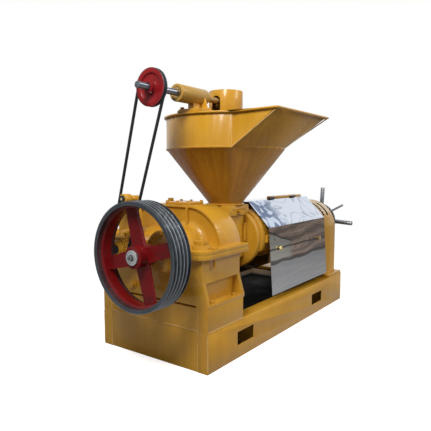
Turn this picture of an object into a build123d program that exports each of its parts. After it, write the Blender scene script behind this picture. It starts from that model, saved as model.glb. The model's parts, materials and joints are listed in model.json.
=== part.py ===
from build123d import *
from math import acos, atan2, cos, degrees, hypot, pi, radians, sin, tan
import os

os.makedirs("parts", exist_ok=True)

# Clearances
running = 0.3
bearing_fit = 0.05

# Base frame of channel rails, laid along X
base_width = 800
rail_height = 224
rail_flange = 83
rail_web = 9
rail_flange_thick = 12
end_cap_width = 68
end_cap_thick = 8
end_plate_recess = 2
end_flange = 52
pocket_width = 174
pocket_height = 78
pocket_floor = 75
first_pocket = 282
second_pocket = 1277
tube_width = 60
tube_wall = 6
tray_lift = 164
foundation_hole = 11
foundation_inset = 130

# Lengths of the units along the press, from the pulley end
gearbox_length = 350
neck_gap = 102
feed_box_length = 188
feed_flange_thick = 40
cage_ring_thick = 45
cage_length = 875
frame_length = 225
base_tail = 17

# Shaft lines
shaft_height = 630
main_y = -120
shaft_spacing = 260

# Levels above the shafts, each measured from the one below
neck_lift = 222
throat_lift = 12
cone_height = 332
drum_height = 196
feeder_lift = 95
idler_lift = 288
neck_height = shaft_height + neck_lift
throat_height = neck_height + throat_lift
drum_bottom = throat_height + cone_height
rim_height = drum_bottom + drum_height
feeder_height = rim_height + feeder_lift
idler_height = shaft_height + idler_lift

# Riser and gearbox casing
riser_height = 122
riser_short = 12
riser_wall = 12
case_wall = 12
foot_thick = 20
foot_slot = 12
side_inset = 34
side_pocket_height = 130
cheek = 25
pocket_depth = 60
sump_height = 54
joint_plate = 25
joint_tail = 56
joint_nose = 32
joint_corner = 75
upper_start = 190
upper_length = 180
upper_radius = 238
rim_rib = 12
main_boss_radius = 116
main_boss_nose = 34
boss_flare = 45
lay_boss_radius = 104
lay_boss_nose = 45
cover_thick = 10
stud_boss_radius = 48
stud_boss_height = 22
stud_nut_radius = 38
stud_nut_height = 24
stud_tip = 16
screw_boss_radius = 110

# Shafts, bearings and gears
input_shaft_radius = 40
pulley_seat_radius = 35
lay_shaft_radius = 32
feeder_seat_radius = 24
screw_shaft_radius = 50
main_bore = 80
lay_bore = 70
blind_bore = 55
screw_bore = 85
bearing_width = 40
first_pinion_teeth = 20
first_gear_teeth = 60
second_pinion_teeth = 18
second_gear_teeth = 62
backlash = 0.4
first_face = 46
second_face = 56
gear_start = 212
gear_gap = 12

# Main pulley
pulley_radius = 284.8
pulley_width = 123
pulley_gap = 137
grooves = 5
groove_pitch = 25.5
groove_top = 22
groove_bottom = 12
groove_depth = 17
pulley_lip = 262
pulley_inside = 250
pulley_hub_radius = 58
pulley_rib_half = 28
pulley_rib_step = 6
spoke_thick = 22
spoke_root = 44
spoke_tip = 34
spoke_turn = -14.7
spoke_shift = 8
end_cap_radius = 38
end_cap_depth = 12

# Feeder belt drive
belt_plane = -100
belt_width = 17
belt_thick = 11
small_pulley_radius = 70
feeder_pulley_radius = 98
feeder_shaft_radius = 17.5
feeder_stub = 90
idler_radius = 28
idler_width = 50
idler_front = 13
idler_plate = 16
idler_boss = 18
idler_bore = 14
idler_plate_low = 60
idler_plate_high = 236
idler_plate_top = 190

# Feeder bearing tube and bevel housing
tube_radius = 48
tube_bore = 30
tube_start = 92
tube_length = 239
tube_neck = 42
tube_neck_radius = 24
bush_length = 40
bridge_thick = 12
bridge_width = 150
saddle_plate = 8
saddle_half = 70
saddle_wing = 68
bevel_case_radius = 106
bevel_case_wall = 6
bevel_case_lift = 65
bevel_door = 30
bevel_teeth = 20
bevel_radius = 48
bevel_face = 18

# Hopper
drum_radius = 369.5
hopper_wall = 4
throat_radius = 108
mouth_reach = 531
mouth_width = 630
chute_angle = 50
rim_lip = 14
rim_thick = 12
auger_shaft_radius = 20
auger_radius = 60
auger_pitch = 110
auger_length = 220

# Neck and feed box
neck_thick = 65
neck_half = 105
neck_overhang = 28
box_half = 90
box_drop = 110
duct = 130
gate_thick = 8

# Cage and screw
feed_flange_radius = 192
cage_ring_radius = 200
cage_ring_drop = 80
cage_skirt_length = 60
cage_skirt_thick = 10
cage_bore = 98
bar_inner = 73
bar_count = 24
bar_gap = 1.5
rib_radius = 165
rib_width = 45
rib_count = 5
cage_flange_half = 215
cage_flange_thick = 25
screw_core_start = 40
screw_core_end = 58
flight_radius = 68
flight_thick = 16
flight_pitch = 140

# Thrust frame and adjusting handle
frame_radius = 228
frame_drop = 34
frame_shell = 16
frame_end_wall = 26
frame_foot = 20
frame_bore = 100
slot_width = 30
slot_starts = (47, 125)
spindle_radius = 40
nut_radius = 66
nut_length = 90
block_radius = 80
lock_nut_radius = 62
lock_nut_length = 40
lock_bar_radius = 9
lock_bar_reach = 320
lock_bar_angle = 151
hub_gap = 204
hub_disc_radius = 150
hub_disc_thick = 14
hub_radius = 62
hub_length = 68
handle_radius = 18
handle_reach = 288
handle_turn = 3

# Guard over the cage
guard_sheet = 2
guard_fold_reach = 225
guard_fold_lift = 70
guard_ridge_reach = 68
guard_ridge_lift = 234
guard_foot_reach = 255
guard_foot_lift = 38
guard_far_lift = 56
guard_rail_start = 375
guard_rail_length = 420
guard_rail_near = 60
guard_rail_far = 10
hoop_thick = 6
hoop_width = 40
knob_inset = 124
knob_spacing = 618
knob_drop = 74
hinge_radius = 7

# Fasteners
bolt_radius = 8.5
bolt_head_radius = 15
bolt_head_height = 12
joint_bolt_tail = 48
tall_stud_height = 46
tall_stud_radius = 6
tall_stud_nut = 12

# Places worked out from the sizes above; X runs along the press from the pulley end
base_length = (gearbox_length + neck_gap + feed_box_length + feed_flange_thick
               + cage_ring_thick + cage_length + frame_length + base_tail)
x_base = -base_length / 2
x_end = base_length / 2
x_case_end = x_base + gearbox_length
x_upper = x_base + upper_start
x_upper_end = x_upper + upper_length
x_box = x_case_end + neck_gap
x_flange = x_box + feed_box_length
x_ring = x_flange + feed_flange_thick
x_cage = x_ring + cage_ring_thick
x_frame = x_cage + cage_length
x_frame_end = x_frame + frame_length
x_hopper = x_box + neck_half + 3
lay_y = main_y + shaft_spacing
side_half = base_width / 2 - side_inset
joint_half = base_width / 2
riser_top = rail_height + riser_height
web_inner = base_width / 2 - rail_web
flange_toe = base_width / 2 - rail_flange
first_module = 2 * shaft_spacing / (first_pinion_teeth + first_gear_teeth)
second_module = 2 * shaft_spacing / (second_pinion_teeth + second_gear_teeth)
x_gear = x_base + gear_start
x_second_gear = x_gear + first_face + gear_gap
joint_low = shaft_height - joint_plate
joint_top = shaft_height + joint_plate - 3
case_top = shaft_height + upper_radius
far_radius = upper_radius - 20
pocket_top = riser_top + side_pocket_height
bevel_case_top = feeder_height + bevel_case_lift
box_floor = shaft_height - box_drop
cage_ring_floor = shaft_height - cage_ring_drop
frame_centre = shaft_height - frame_drop
guard_fold_y = main_y - guard_fold_reach
guard_fold_z = shaft_height + guard_fold_lift
guard_ridge_y = main_y - guard_ridge_reach
guard_ridge_z = shaft_height + guard_ridge_lift
guard_foot_y = main_y - guard_foot_reach
guard_foot_z = rail_height + guard_foot_lift
knob_height = shaft_height - knob_drop
x_lay_end = x_case_end + 35


def block(x0, x1, y0, y1, z0, z1):
    """A rectangular block between three pairs of planes."""
    size = Box(abs(x1 - x0), abs(y1 - y0), abs(z1 - z0))
    return Pos((x0 + x1) / 2, (y0 + y1) / 2, (z0 + z1) / 2) * size


def rod_x(x0, x1, y, z, radius):
    """A round bar along X."""
    return Pos((x0 + x1) / 2, y, z) * Rot(0, 90, 0) * Cylinder(radius, abs(x1 - x0))


def rod_y(y0, y1, x, z, radius):
    """A round bar along Y."""
    return Pos(x, (y0 + y1) / 2, z) * Rot(90, 0, 0) * Cylinder(radius, abs(y1 - y0))


def rod_z(z0, z1, x, y, radius):
    """A round bar along Z."""
    return Pos(x, y, (z0 + z1) / 2) * Cylinder(radius, abs(z1 - z0))


def turned_x(points, y, z):
    """A part turned about a line along X, from its half section of (x, radius) points."""
    plane = Plane(origin=(0, y, z), x_dir=(1, 0, 0), z_dir=(0, -1, 0))
    return revolve(plane * Polygon(*points, align=None), Axis((0, y, z), (1, 0, 0)))


def turned_z(points, x, y):
    """A part turned about a line along Z, from its half section of (radius, z) points."""
    plane = Plane(origin=(x, y, 0), x_dir=(1, 0, 0), z_dir=(0, -1, 0))
    return revolve(plane * Polygon(*points, align=None), Axis((x, y, 0), (0, 0, 1)))


def prism_x(sketch, x0, x1):
    """A (y, z) outline carried along X."""
    plane = Plane(origin=(x0, 0, 0), x_dir=(0, 1, 0), z_dir=(1, 0, 0))
    return extrude(plane * sketch, amount=x1 - x0, dir=(1, 0, 0))


def hexagon_z(x, y, z0, z1, radius):
    """A hexagon head or nut standing along Z."""
    return Pos(x, y, z0) * extrude(RegularPolygon(radius, 6), amount=z1 - z0)


def hexagon_x(x0, x1, y, z, radius):
    """A hexagon head or nut lying along X."""
    return prism_x(Pos(y, z) * RegularPolygon(radius, 6), x0, x1)


def ring_places(count, radius, turn, y, z):
    """Centres of a bolt circle about a line along X."""
    angles = [radians(turn + 360 * i / count) for i in range(count)]
    return [(y + radius * cos(a), z + radius * sin(a)) for a in angles]


def upper_half(shape):
    """What lies above the casing joint."""
    return shape & block(-base_length, base_length, -base_width, base_width, shaft_height,
                         shaft_height + base_width)


def lower_half(shape):
    """What lies below the casing joint."""
    return shape & block(-base_length, base_length, -base_width, base_width,
                         shaft_height - base_width, shaft_height)


def foundation_places():
    """Centres of the four foundation bolt holes."""
    y = base_width / 2 - rail_flange / 2
    x = base_length / 2 - foundation_inset
    return [(sx * x, sy * y) for sx in (-1, 1) for sy in (-1, 1)]


def base_rail(side):
    """A channel rail with its flanges inwards, capped at both ends and pierced for lifting forks."""
    outer = side * base_width / 2
    toe = side * flange_toe
    x0 = x_base + end_cap_thick
    x1 = x_end - end_cap_thick
    rail = block(x0, x1, outer, toe, 0, rail_height)
    rail -= block(x0, x1, side * web_inner, toe, rail_flange_thick, rail_height - rail_flange_thick)
    cap_toe = side * (base_width / 2 - end_cap_width)
    rail += block(x_base, x0, outer, cap_toe, 0, rail_height)
    rail += block(x1, x_end, outer, cap_toe, 0, rail_height)
    for start in (first_pocket, second_pocket):
        left = x_base + start
        rail -= block(left, left + pocket_width, outer, side * web_inner,
                      pocket_floor, pocket_floor + pocket_height)
    for x, y in foundation_places():
        if y * side > 0:
            rail -= rod_z(0, rail_flange_thick, x, y, foundation_hole)
    return rail


def end_member(x_face, inward):
    """The recessed channel that closes one end of the base."""
    half = base_width / 2 - end_cap_width
    front = x_face + inward * end_plate_recess
    back = x_face + inward * end_cap_thick
    member = block(front, back, -half, half, 0, rail_height)
    member += block(back, back + inward * end_flange, -flange_toe, flange_toe, 0, end_cap_thick)
    member += block(back, back + inward * end_flange, -flange_toe, flange_toe,
                    rail_height - end_cap_thick, rail_height)
    return member


def cross_tubes():
    """Rectangular tubes across the base that tie the rails and carry the oil tray."""
    tubes = []
    for station in (gearbox_length / 2, gearbox_length + neck_gap + 20,
                    (first_pocket + second_pocket + pocket_width) / 2, base_length - 350):
        x0 = x_base + station
        tube = block(x0, x0 + tube_width, -web_inner, web_inner, rail_flange_thick, tray_lift)
        tube -= block(x0 + tube_wall, x0 + tube_width - tube_wall, -web_inner, web_inner,
                      rail_flange_thick + tube_wall, tray_lift - tube_wall)
        tubes.append(tube)
    return tubes


def cross_members():
    """Everything that ties the two rails together."""
    return Compound(children=[end_member(x_base, 1), end_member(x_end, -1)] + cross_tubes())


tray_half = flange_toe - 8
tray_sheet = 4
tray_x0 = x_case_end + 20
tray_x1 = x_frame - 30
tray_rim = rail_height - 6


def oil_tray():
    """The open pan under the cage."""
    pan = block(tray_x0, tray_x1, -tray_half, tray_half, tray_lift, tray_rim)
    pan -= block(tray_x0 + tray_sheet, tray_x1 - tray_sheet, -tray_half + tray_sheet,
                 tray_half - tray_sheet, tray_lift + tray_sheet, tray_rim)
    return pan


def gearbox_riser():
    """The welded box that lifts the gearbox above the rails."""
    x1 = x_case_end - riser_short
    half = base_width / 2
    riser = block(x_base, x1, -half, half, rail_height, riser_top)
    riser -= block(x_base + riser_wall, x1 - riser_wall, -half + riser_wall, half - riser_wall,
                   rail_height, riser_top - riser_wall)
    front = half - end_cap_width
    riser -= block(x_base, x_base + end_plate_recess, -front, front, rail_height, riser_top)
    return riser


def case_foot_places():
    """Centres of the bolts that hold the gearbox feet to the riser."""
    y = (base_width / 2 + side_half) / 2 - 5
    return [(x_base + x, side * y) for x in (72, gearbox_length - 72) for side in (-1, 1)]


def joint_sheet(z0, z1):
    """One of the two flange plates of the casing joint, round at its nose corners."""
    plate = block(x_base - joint_nose, x_case_end + joint_tail, -joint_half, joint_half, z0, z1)
    edges = plate.edges().filter_by(Axis.Z)
    nose = edges.sort_by(Axis.X)[:2]
    plate = fillet(nose, joint_corner)
    tail = plate.edges().filter_by(Axis.Z).sort_by(Axis.X)[-2:]
    return fillet(tail, 20)


def tall_stud_places():
    """Centres of the tall studs along the tail of the casing joint."""
    x = x_case_end + joint_tail - 18
    return [(x, -joint_half + 65), (x, 20), (x, 262), (x, joint_half - 16)]


def joint_bolt_places():
    """Centres of the bolts along the casing joint."""
    y = joint_half - 16
    return [(x_base + 83, -y), (x_base + 83, y)] + tall_stud_places()


def stud_places():
    """Centres of the two stepped bosses beside the shaft bosses."""
    return [(x_base + 55, main_y - 195), (x_base + 55, lay_y + 180)]


def case_bores():
    """The bores along both shaft lines."""
    bores = rod_x(x_base - main_boss_nose, x_upper + case_wall, main_y, shaft_height, main_bore)
    bores += rod_x(x_base - lay_boss_nose, x_upper + case_wall, lay_y, shaft_height, lay_bore)
    bores += rod_x(x_case_end - case_wall, x_lay_end, lay_y, shaft_height, blind_bore)
    bores += rod_x(x_case_end - case_wall, x_box - cover_thick - 2, main_y, shaft_height, screw_bore)
    return bores


def case_bosses(x_wall):
    """The round bosses that carry the bearings, from the near noses to a wall plane and beyond it."""
    bosses = rod_x(x_base - main_boss_nose, x_upper + case_wall, main_y, shaft_height,
                   main_boss_radius)
    bosses += rod_x(x_base - lay_boss_nose, x_upper + case_wall, lay_y, shaft_height,
                    lay_boss_radius)
    bosses += rod_x(x_wall, x_box - cover_thick - 2, main_y, shaft_height, screw_boss_radius)
    bosses += rod_x(x_wall, x_lay_end + 12, lay_y, shaft_height, blind_bore + 25)
    return bosses


def gearbox_lower_housing():
    """The lower casting: flared feet with a pocket on each side, sump, bosses and joint flange."""
    foot = base_width / 2
    outline = [(-foot, riser_top), (-foot, riser_top + foot_thick), (-side_half, pocket_top + 4),
               (-side_half, joint_low), (side_half, joint_low), (side_half, pocket_top + 4),
               (foot, riser_top + foot_thick), (foot, riser_top)]
    case = prism_x(Polygon(*outline, align=None), x_base, x_case_end)
    sump_top = pocket_top + 14
    wall = side_half - case_wall
    deep = foot - pocket_depth - case_wall
    case -= block(x_base + 20, x_case_end - case_wall, -deep, deep, riser_top + sump_height, sump_top)
    case -= block(x_base + 20, x_case_end - case_wall, -wall, wall, sump_top, joint_low)
    for side in (-1, 1):
        case -= block(x_base + cheek, x_case_end - cheek, side * foot, side * (foot - pocket_depth),
                      riser_top + foot_thick, pocket_top)
    slot = foot - 78
    case -= block(x_base, x_case_end, -slot, slot, riser_top, riser_top + foot_slot)
    case += joint_sheet(joint_low, shaft_height)
    opening = block(x_upper + case_wall, x_case_end - case_wall, -wall, wall, joint_low, shaft_height)
    case -= opening
    case += lower_half(case_bosses(x_case_end - case_wall))
    case -= case_bores()
    for x, y in joint_bolt_places() + stud_places():
        case -= rod_z(joint_low, shaft_height, x, y, bolt_radius + running)
    for x, y in case_foot_places():
        case -= rod_z(riser_top, riser_top + foot_thick, x, y, bolt_radius + running)
    case -= rod_x(x_base, x_base + 20, drain_y, drain_z, drain_radius)
    return case


drain_y = lay_y - 2
drain_z = riser_top + 62
drain_radius = 13


def hood_outline(inset):
    """The gable of the upper casting, round about both shafts, drawn in (y, z)."""
    near = upper_radius - inset
    far = far_radius - inset
    top = case_top - inset
    drop = case_top - far_radius
    z0 = shaft_height
    near_arc = CenterArc((main_y, shaft_height), near, 90, 90)
    far_arc = CenterArc((lay_y, drop), far, 0, 90)
    edges = [near_arc, Line((main_y, top), (lay_y, top)), far_arc,
             Line((lay_y + far, drop), (lay_y + far, z0)),
             Line((lay_y + far, z0), (main_y - near, z0))]
    return make_face(Curve() + edges)


def boss_root():
    """The cast flare where the main boss grows out of the hood's end wall."""
    radius = main_boss_radius + boss_flare
    flare = rod_x(x_upper - boss_flare, x_upper, main_y, shaft_height, radius)
    hollow = Pos(x_upper - boss_flare, main_y, shaft_height) * Rot(0, 90, 0) * Torus(radius, boss_flare)
    return flare - hollow


inspection_x0 = 205
inspection_x1 = 355
inspection_y0 = main_y + 15
inspection_y1 = main_y + 195
inspection_rim = 22
breather_x = 300
breather_y = lay_y - 28


def gearbox_upper_housing():
    """The upper casting: a hood over the gears, long half bosses and the joint flange."""
    hood = prism_x(hood_outline(0), x_upper, x_upper_end)
    hood += prism_x(hood_outline(0) - hood_outline(case_wall), x_upper - rim_rib, x_upper)
    hood += block(x_upper - 20, x_upper, main_y - 6, main_y + 6,
                  shaft_height + main_boss_radius - 10, case_top - case_wall)
    hood += joint_sheet(shaft_height, joint_top)
    hood += upper_half(case_bosses(x_upper_end - case_wall))
    hood += upper_half(boss_root())
    for x, y in stud_places():
        hood += rod_z(joint_top, joint_top + stud_boss_height, x, y, stud_boss_radius)
        hood -= rod_z(shaft_height, joint_top + stud_boss_height, x, y, bolt_radius + running)
    hood -= prism_x(hood_outline(case_wall), x_upper + case_wall, x_upper_end - case_wall)
    hood -= case_bores()
    hood -= block(x_base + inspection_x0 + inspection_rim, x_base + inspection_x1 - inspection_rim,
                  inspection_y0 + inspection_rim, inspection_y1 - inspection_rim,
                  case_top - case_wall, case_top)
    hood -= rod_z(case_top - case_wall, case_top, x_base + breather_x, breather_y, 9)
    for x, y in joint_bolt_places():
        hood -= rod_z(shaft_height, joint_top, x, y, bolt_radius + running)
    return hood


def inspection_bolt_places():
    """Centres of the screws round the inspection cover."""
    inset = 11
    xs = (x_base + inspection_x0 + inset, x_base + inspection_x1 - inset)
    ys = (inspection_y0 + inset, (inspection_y0 + inspection_y1) / 2, inspection_y1 - inset)
    return [(x, y) for x in xs for y in ys]


inspection_thick = 14


def inspection_cover():
    """The plate over the opening in the hood."""
    cover = block(x_base + inspection_x0, x_base + inspection_x1, inspection_y0, inspection_y1,
                  case_top, case_top + inspection_thick)
    return fillet(cover.edges().filter_by(Axis.Z), 10)


def breather_plug():
    """The vent screwed into the top of the hood."""
    x = x_base + breather_x
    plug = rod_z(case_top - case_wall, case_top, x, breather_y, 9)
    plug += hexagon_z(x, breather_y, case_top, case_top + 14, 20)
    plug += rod_z(case_top + 14, case_top + 30, x, breather_y, 17)
    return plug


def drain_plug():
    """The hexagon plug at the foot of the end wall."""
    plug = rod_x(x_base, x_base + 20, drain_y, drain_z, drain_radius)
    plug += rod_x(x_base - 5, x_base, drain_y, drain_z, 24)
    plug += hexagon_x(x_base - 20, x_base - 5, drain_y, drain_z, 17)
    return plug


def bearing_cover(x0, x1, y, radius, bore, lip):
    """A round cover with a raised lip about its shaft."""
    cover = rod_x(x0, x1, y, shaft_height, radius)
    cover += rod_x(x0 - lip, x0, y, shaft_height, bore + 18)
    cover -= rod_x(x0 - lip, x1, y, shaft_height, bore)
    return cover


x_main_nose = x_base - main_boss_nose
x_lay_nose = x_base - lay_boss_nose
main_cover_radius = main_boss_radius - 6
lay_cover_radius = lay_boss_radius - 6
screw_cover_radius = screw_boss_radius - 4


def input_bearing_cover():
    """The cover on the nose of the input boss."""
    return bearing_cover(x_main_nose - cover_thick, x_main_nose, main_y, main_cover_radius,
                         input_shaft_radius + running, 6)


def layshaft_bearing_cover():
    """The cover on the nose of the layshaft boss."""
    return bearing_cover(x_lay_nose - cover_thick, x_lay_nose, lay_y, lay_cover_radius,
                         lay_shaft_radius + running, 6)


def screw_bearing_cover():
    """The cover between the gearbox and the feed box."""
    x0 = x_box - cover_thick - 2
    cover = rod_x(x0, x_box, main_y, shaft_height, screw_cover_radius)
    cover -= rod_x(x0, x_box, main_y, shaft_height, screw_shaft_radius + running)
    return cover


def bearing(x0, y, outer, inner):
    """A bearing as one plain ring between its seat and its shaft."""
    ring = rod_x(x0, x0 + bearing_width, y, shaft_height, outer)
    ring -= rod_x(x0, x0 + bearing_width, y, shaft_height, inner + bearing_fit)
    return ring


def shaft_bearings():
    """The bearings of the input shaft, the layshaft and the press screw."""
    inner_x = x_upper + case_wall - bearing_width
    return Compound(children=[
        bearing(x_main_nose, main_y, main_bore, input_shaft_radius),
        bearing(inner_x, main_y, main_bore, input_shaft_radius),
        bearing(x_lay_nose, lay_y, lay_bore, lay_shaft_radius),
        bearing(inner_x, lay_y, lay_bore, lay_shaft_radius),
        bearing(x_lay_end - bearing_width, lay_y, blind_bore, lay_shaft_radius),
        bearing(x_box - cover_thick - 2 - bearing_width, main_y, screw_bore, screw_shaft_radius),
    ])


def bolt_down(x, y, z_seat, z_tip):
    """A bolt standing along Z: hexagon head on its seat and a shank down to its tip."""
    bolt = hexagon_z(x, y, z_seat, z_seat + bolt_head_height, bolt_head_radius)
    return bolt + rod_z(z_tip, z_seat, x, y, bolt_radius)


def tall_stud(x, y):
    """A stud that stands high above its nut, with a small cap at its tip."""
    tip = joint_top + tall_stud_height
    stud = rod_z(joint_low - joint_bolt_tail, joint_top, x, y, bolt_radius)
    stud += hexagon_z(x, y, joint_top, joint_top + bolt_head_height, tall_stud_nut)
    stud += rod_z(joint_top + bolt_head_height, tip, x, y, tall_stud_radius)
    return stud + rod_z(tip - 8, tip, x, y, bolt_radius)


def capped_stud(x, y):
    """A stud with its big nut on a raised boss."""
    seat = joint_top + stud_boss_height
    stud = rod_z(joint_low, seat, x, y, bolt_radius)
    stud += hexagon_z(x, y, seat, seat + stud_nut_height, stud_nut_radius)
    return stud + rod_z(seat + stud_nut_height, seat + stud_nut_height + stud_tip, x, y, 13)


def joint_bolts():
    """The bolts and studs that hold the two castings together."""
    tall = tall_stud_places()
    bolts = [bolt_down(x, y, joint_top, joint_low - joint_bolt_tail)
             for x, y in joint_bolt_places() if (x, y) not in tall]
    bolts += [tall_stud(x, y) for x, y in tall]
    bolts += [capped_stud(x, y) for x, y in stud_places()]
    return Compound(children=bolts)


def foot_bolts():
    """The bolts in the side pockets of the lower casting."""
    z = riser_top + foot_thick
    return Compound(children=[bolt_down(x, y, z, riser_top) for x, y in case_foot_places()])


def cover_bolts():
    """The screws of the bearing covers and of the inspection cover."""
    screws = []
    x0 = x_main_nose - cover_thick
    for y, z in ring_places(6, main_cover_radius - 14, 30, main_y, shaft_height):
        screws.append(hexagon_x(x0 - 8, x0, y, z, 9))
    x0 = x_lay_nose - cover_thick
    for y, z in ring_places(6, lay_cover_radius - 14, 30, lay_y, shaft_height):
        screws.append(hexagon_x(x0 - 8, x0, y, z, 9))
    top = case_top + inspection_thick
    screws += [hexagon_z(x, y, top, top + 8, 9) for x, y in inspection_bolt_places()]
    return Compound(children=screws)


def involute_half_angle(radius, base, pitch, half_thick):
    """Half the angle that a tooth fills at a radius, for involute flanks."""
    def turn(r):
        if r <= base:
            return 0
        a = acos(base / r)
        return tan(a) - a
    return half_thick / pitch + turn(pitch) - turn(radius)


def gear(module, teeth, x0, x1, y, z, turn):
    """A spur gear along X with involute flanks and a tooth at the angle turn from +Y."""
    pitch = module * teeth / 2
    base = pitch * cos(radians(20))
    root = pitch - 1.25 * module
    tip = pitch + module
    half_thick = pi * module / 4 - backlash / 2
    points = []
    for i in range(teeth):
        middle = turn + 2 * pi * i / teeth
        for radius, side in ((root, -1), (pitch, -1), (tip, -1), (tip, 1), (pitch, 1), (root, 1)):
            a = middle + side * involute_half_angle(radius, base, pitch, half_thick)
            points.append((y + radius * cos(a), z + radius * sin(a)))
    return prism_x(Polygon(*points, align=None), x0, x1)


x_input_end = x_gear + first_face
x_pulley = x_base - pulley_gap - pulley_width
hub_front = x_pulley + 10
hub_back = x_pulley + pulley_width


def input_shaft():
    """The input shaft with its pinion and the spigot that runs in the bull gear."""
    shaft = rod_x(hub_front, hub_back, main_y, shaft_height, pulley_seat_radius)
    shaft += rod_x(hub_back, x_gear, main_y, shaft_height, input_shaft_radius)
    shaft += gear(first_module, first_pinion_teeth, x_gear, x_input_end, main_y, shaft_height, 0)
    shaft += rod_x(x_input_end, x_second_gear + 24, main_y, shaft_height, 24)
    return shaft


def pulley_section():
    """Half section of the pulley rim, with its grooves, as (x, radius) points."""
    x1 = x_pulley + pulley_width
    land = (pulley_width - (grooves - 1) * groove_pitch) / 2
    points = [(x_pulley, pulley_lip), (x_pulley, pulley_radius)]
    for i in range(grooves):
        middle = x_pulley + land + i * groove_pitch
        floor = pulley_radius - groove_depth
        points += [(middle - groove_top / 2, pulley_radius), (middle - groove_bottom / 2, floor),
                   (middle + groove_bottom / 2, floor), (middle + groove_top / 2, pulley_radius)]
    middle = (x_pulley + x1) / 2
    foot = pulley_rib_half + pulley_rib_step
    points += [(x1, pulley_radius), (x1, pulley_lip), (middle + foot, pulley_lip),
               (middle + pulley_rib_half, pulley_inside), (middle - pulley_rib_half, pulley_inside),
               (middle - foot, pulley_lip)]
    return points


def main_pulley():
    """The big grooved pulley: rim, four flat arms and a long hub."""
    pulley = turned_x(pulley_section(), main_y, shaft_height)
    middle = x_pulley + pulley_width / 2 + spoke_shift
    arm = Polygon((0, -spoke_root), (pulley_inside + 6, -spoke_tip), (pulley_inside + 6, spoke_tip),
                  (0, spoke_root), align=None)
    for i in range(4):
        turned = Pos(main_y, shaft_height) * Rot(0, 0, spoke_turn + 90 * i) * arm
        pulley += prism_x(turned, middle - spoke_thick / 2, middle + spoke_thick / 2)
    pulley += rod_x(hub_front, hub_back, main_y, shaft_height, pulley_hub_radius)
    pulley -= rod_x(hub_front, hub_back, main_y, shaft_height, pulley_seat_radius)
    return pulley


def pulley_end_cap():
    """The washer and bolt that hold the pulley on its shaft."""
    cap = rod_x(hub_front - end_cap_depth, hub_front, main_y, shaft_height, end_cap_radius)
    cap += hexagon_x(hub_front - end_cap_depth - 12, hub_front - end_cap_depth, main_y,
                     shaft_height, 15)
    return cap


x_small_hub = x_lay_nose - cover_thick - 10


def layshaft():
    """The layshaft with its big gear, its pinion and the seat of the small pulley."""
    shaft = rod_x(belt_x - 30, x_small_hub, lay_y, shaft_height, feeder_seat_radius)
    shaft += rod_x(x_small_hub, x_lay_end, lay_y, shaft_height, lay_shaft_radius)
    shaft += gear(first_module, first_gear_teeth, x_gear, x_input_end, lay_y, shaft_height,
                  pi / first_gear_teeth)
    shaft += gear(second_module, second_pinion_teeth, x_second_gear, x_second_gear + second_face,
                  lay_y, shaft_height, 0)
    return shaft


belt_x = x_base + belt_plane


def grooved_wheel(radius, y, z, half_width):
    """Rim of a pulley for one belt, as a turned disc with a groove."""
    floor = radius - belt_thick - 1
    wide = belt_width / 2 + 0.4
    narrow = wide - 2.4
    points = [(belt_x - half_width, 0), (belt_x - half_width, radius), (belt_x - wide, radius),
              (belt_x - narrow, floor), (belt_x + narrow, floor), (belt_x + wide, radius),
              (belt_x + half_width, radius), (belt_x + half_width, 0)]
    return turned_x(points, y, z)


def feeder_drive_pulley():
    """The small pulley on the layshaft, with a stepped face and a hub."""
    pulley = grooved_wheel(small_pulley_radius, lay_y, shaft_height, 14)
    step = [(belt_x - 14, 50), (belt_x - 14, 58), (belt_x - 9, 56), (belt_x - 9, 50)]
    pulley -= turned_x(step, lay_y, shaft_height)
    pulley += rod_x(belt_x - 22, belt_x - 14, lay_y, shaft_height, 50)
    pulley += rod_x(belt_x - 30, belt_x - 22, lay_y, shaft_height, 36)
    pulley += rod_x(belt_x + 14, x_small_hub, lay_y, shaft_height, 44)
    pulley -= rod_x(belt_x - 30, x_small_hub, lay_y, shaft_height, feeder_seat_radius)
    return pulley


def feeder_pulley():
    """The pulley on the feeder shaft: grooved rim, dished web and hub."""
    y, z = main_y, feeder_height
    pulley = grooved_wheel(feeder_pulley_radius, y, z, 13)
    dish = [(belt_x - 13, 36), (belt_x - 13, 72), (belt_x - 5, 66), (belt_x - 5, 40)]
    pulley -= turned_x(dish, y, z)
    dish = [(belt_x + 13, 36), (belt_x + 13, 72), (belt_x + 5, 66), (belt_x + 5, 40)]
    pulley -= turned_x(dish, y, z)
    pulley += rod_x(belt_x - 27, belt_x - 13, y, z, 33)
    pulley -= rod_x(belt_x - 27, belt_x + 13, y, z, feeder_shaft_radius)
    return pulley


def belt_ring(extra):
    """The belt's loop, drawn in (y, z) at a distance outside the groove floors."""
    top = Pos(main_y, feeder_height) * Circle(feeder_pulley_radius - belt_thick + extra)
    low = Pos(lay_y, shaft_height) * Circle(small_pulley_radius - belt_thick + extra)
    return make_hull(top.edges() + low.edges())


def feeder_belt():
    """The belt as a closed loop round its two pulleys, clear of both groove floors."""
    narrow = belt_width - 5
    loop = belt_ring(belt_thick + running) - belt_ring(running)
    return prism_x(loop, belt_x - narrow / 2, belt_x + narrow / 2)


def run_point(z):
    """The inner face of the belt's +Y run at a height, as its y and the run's outward normal."""
    dy = main_y - lay_y
    dz = feeder_height - shaft_height
    span = hypot(dy, dz)
    lean = atan2(dz, dy)
    low = small_pulley_radius - belt_thick
    high = feeder_pulley_radius - belt_thick
    off = lean - acos((low - high) / span)
    ny, nz = cos(off), sin(off)
    start_y, start_z = lay_y + low * ny, shaft_height + low * nz
    return start_y - (z - start_z) * nz / ny, ny, nz


def idler_centre():
    """Where the idler's axis lies, inside the belt's +Y run."""
    y, ny, nz = run_point(idler_height)
    gap = idler_radius + running
    return y - gap * ny, idler_height - gap * nz


x_idler = belt_x - idler_front


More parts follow.
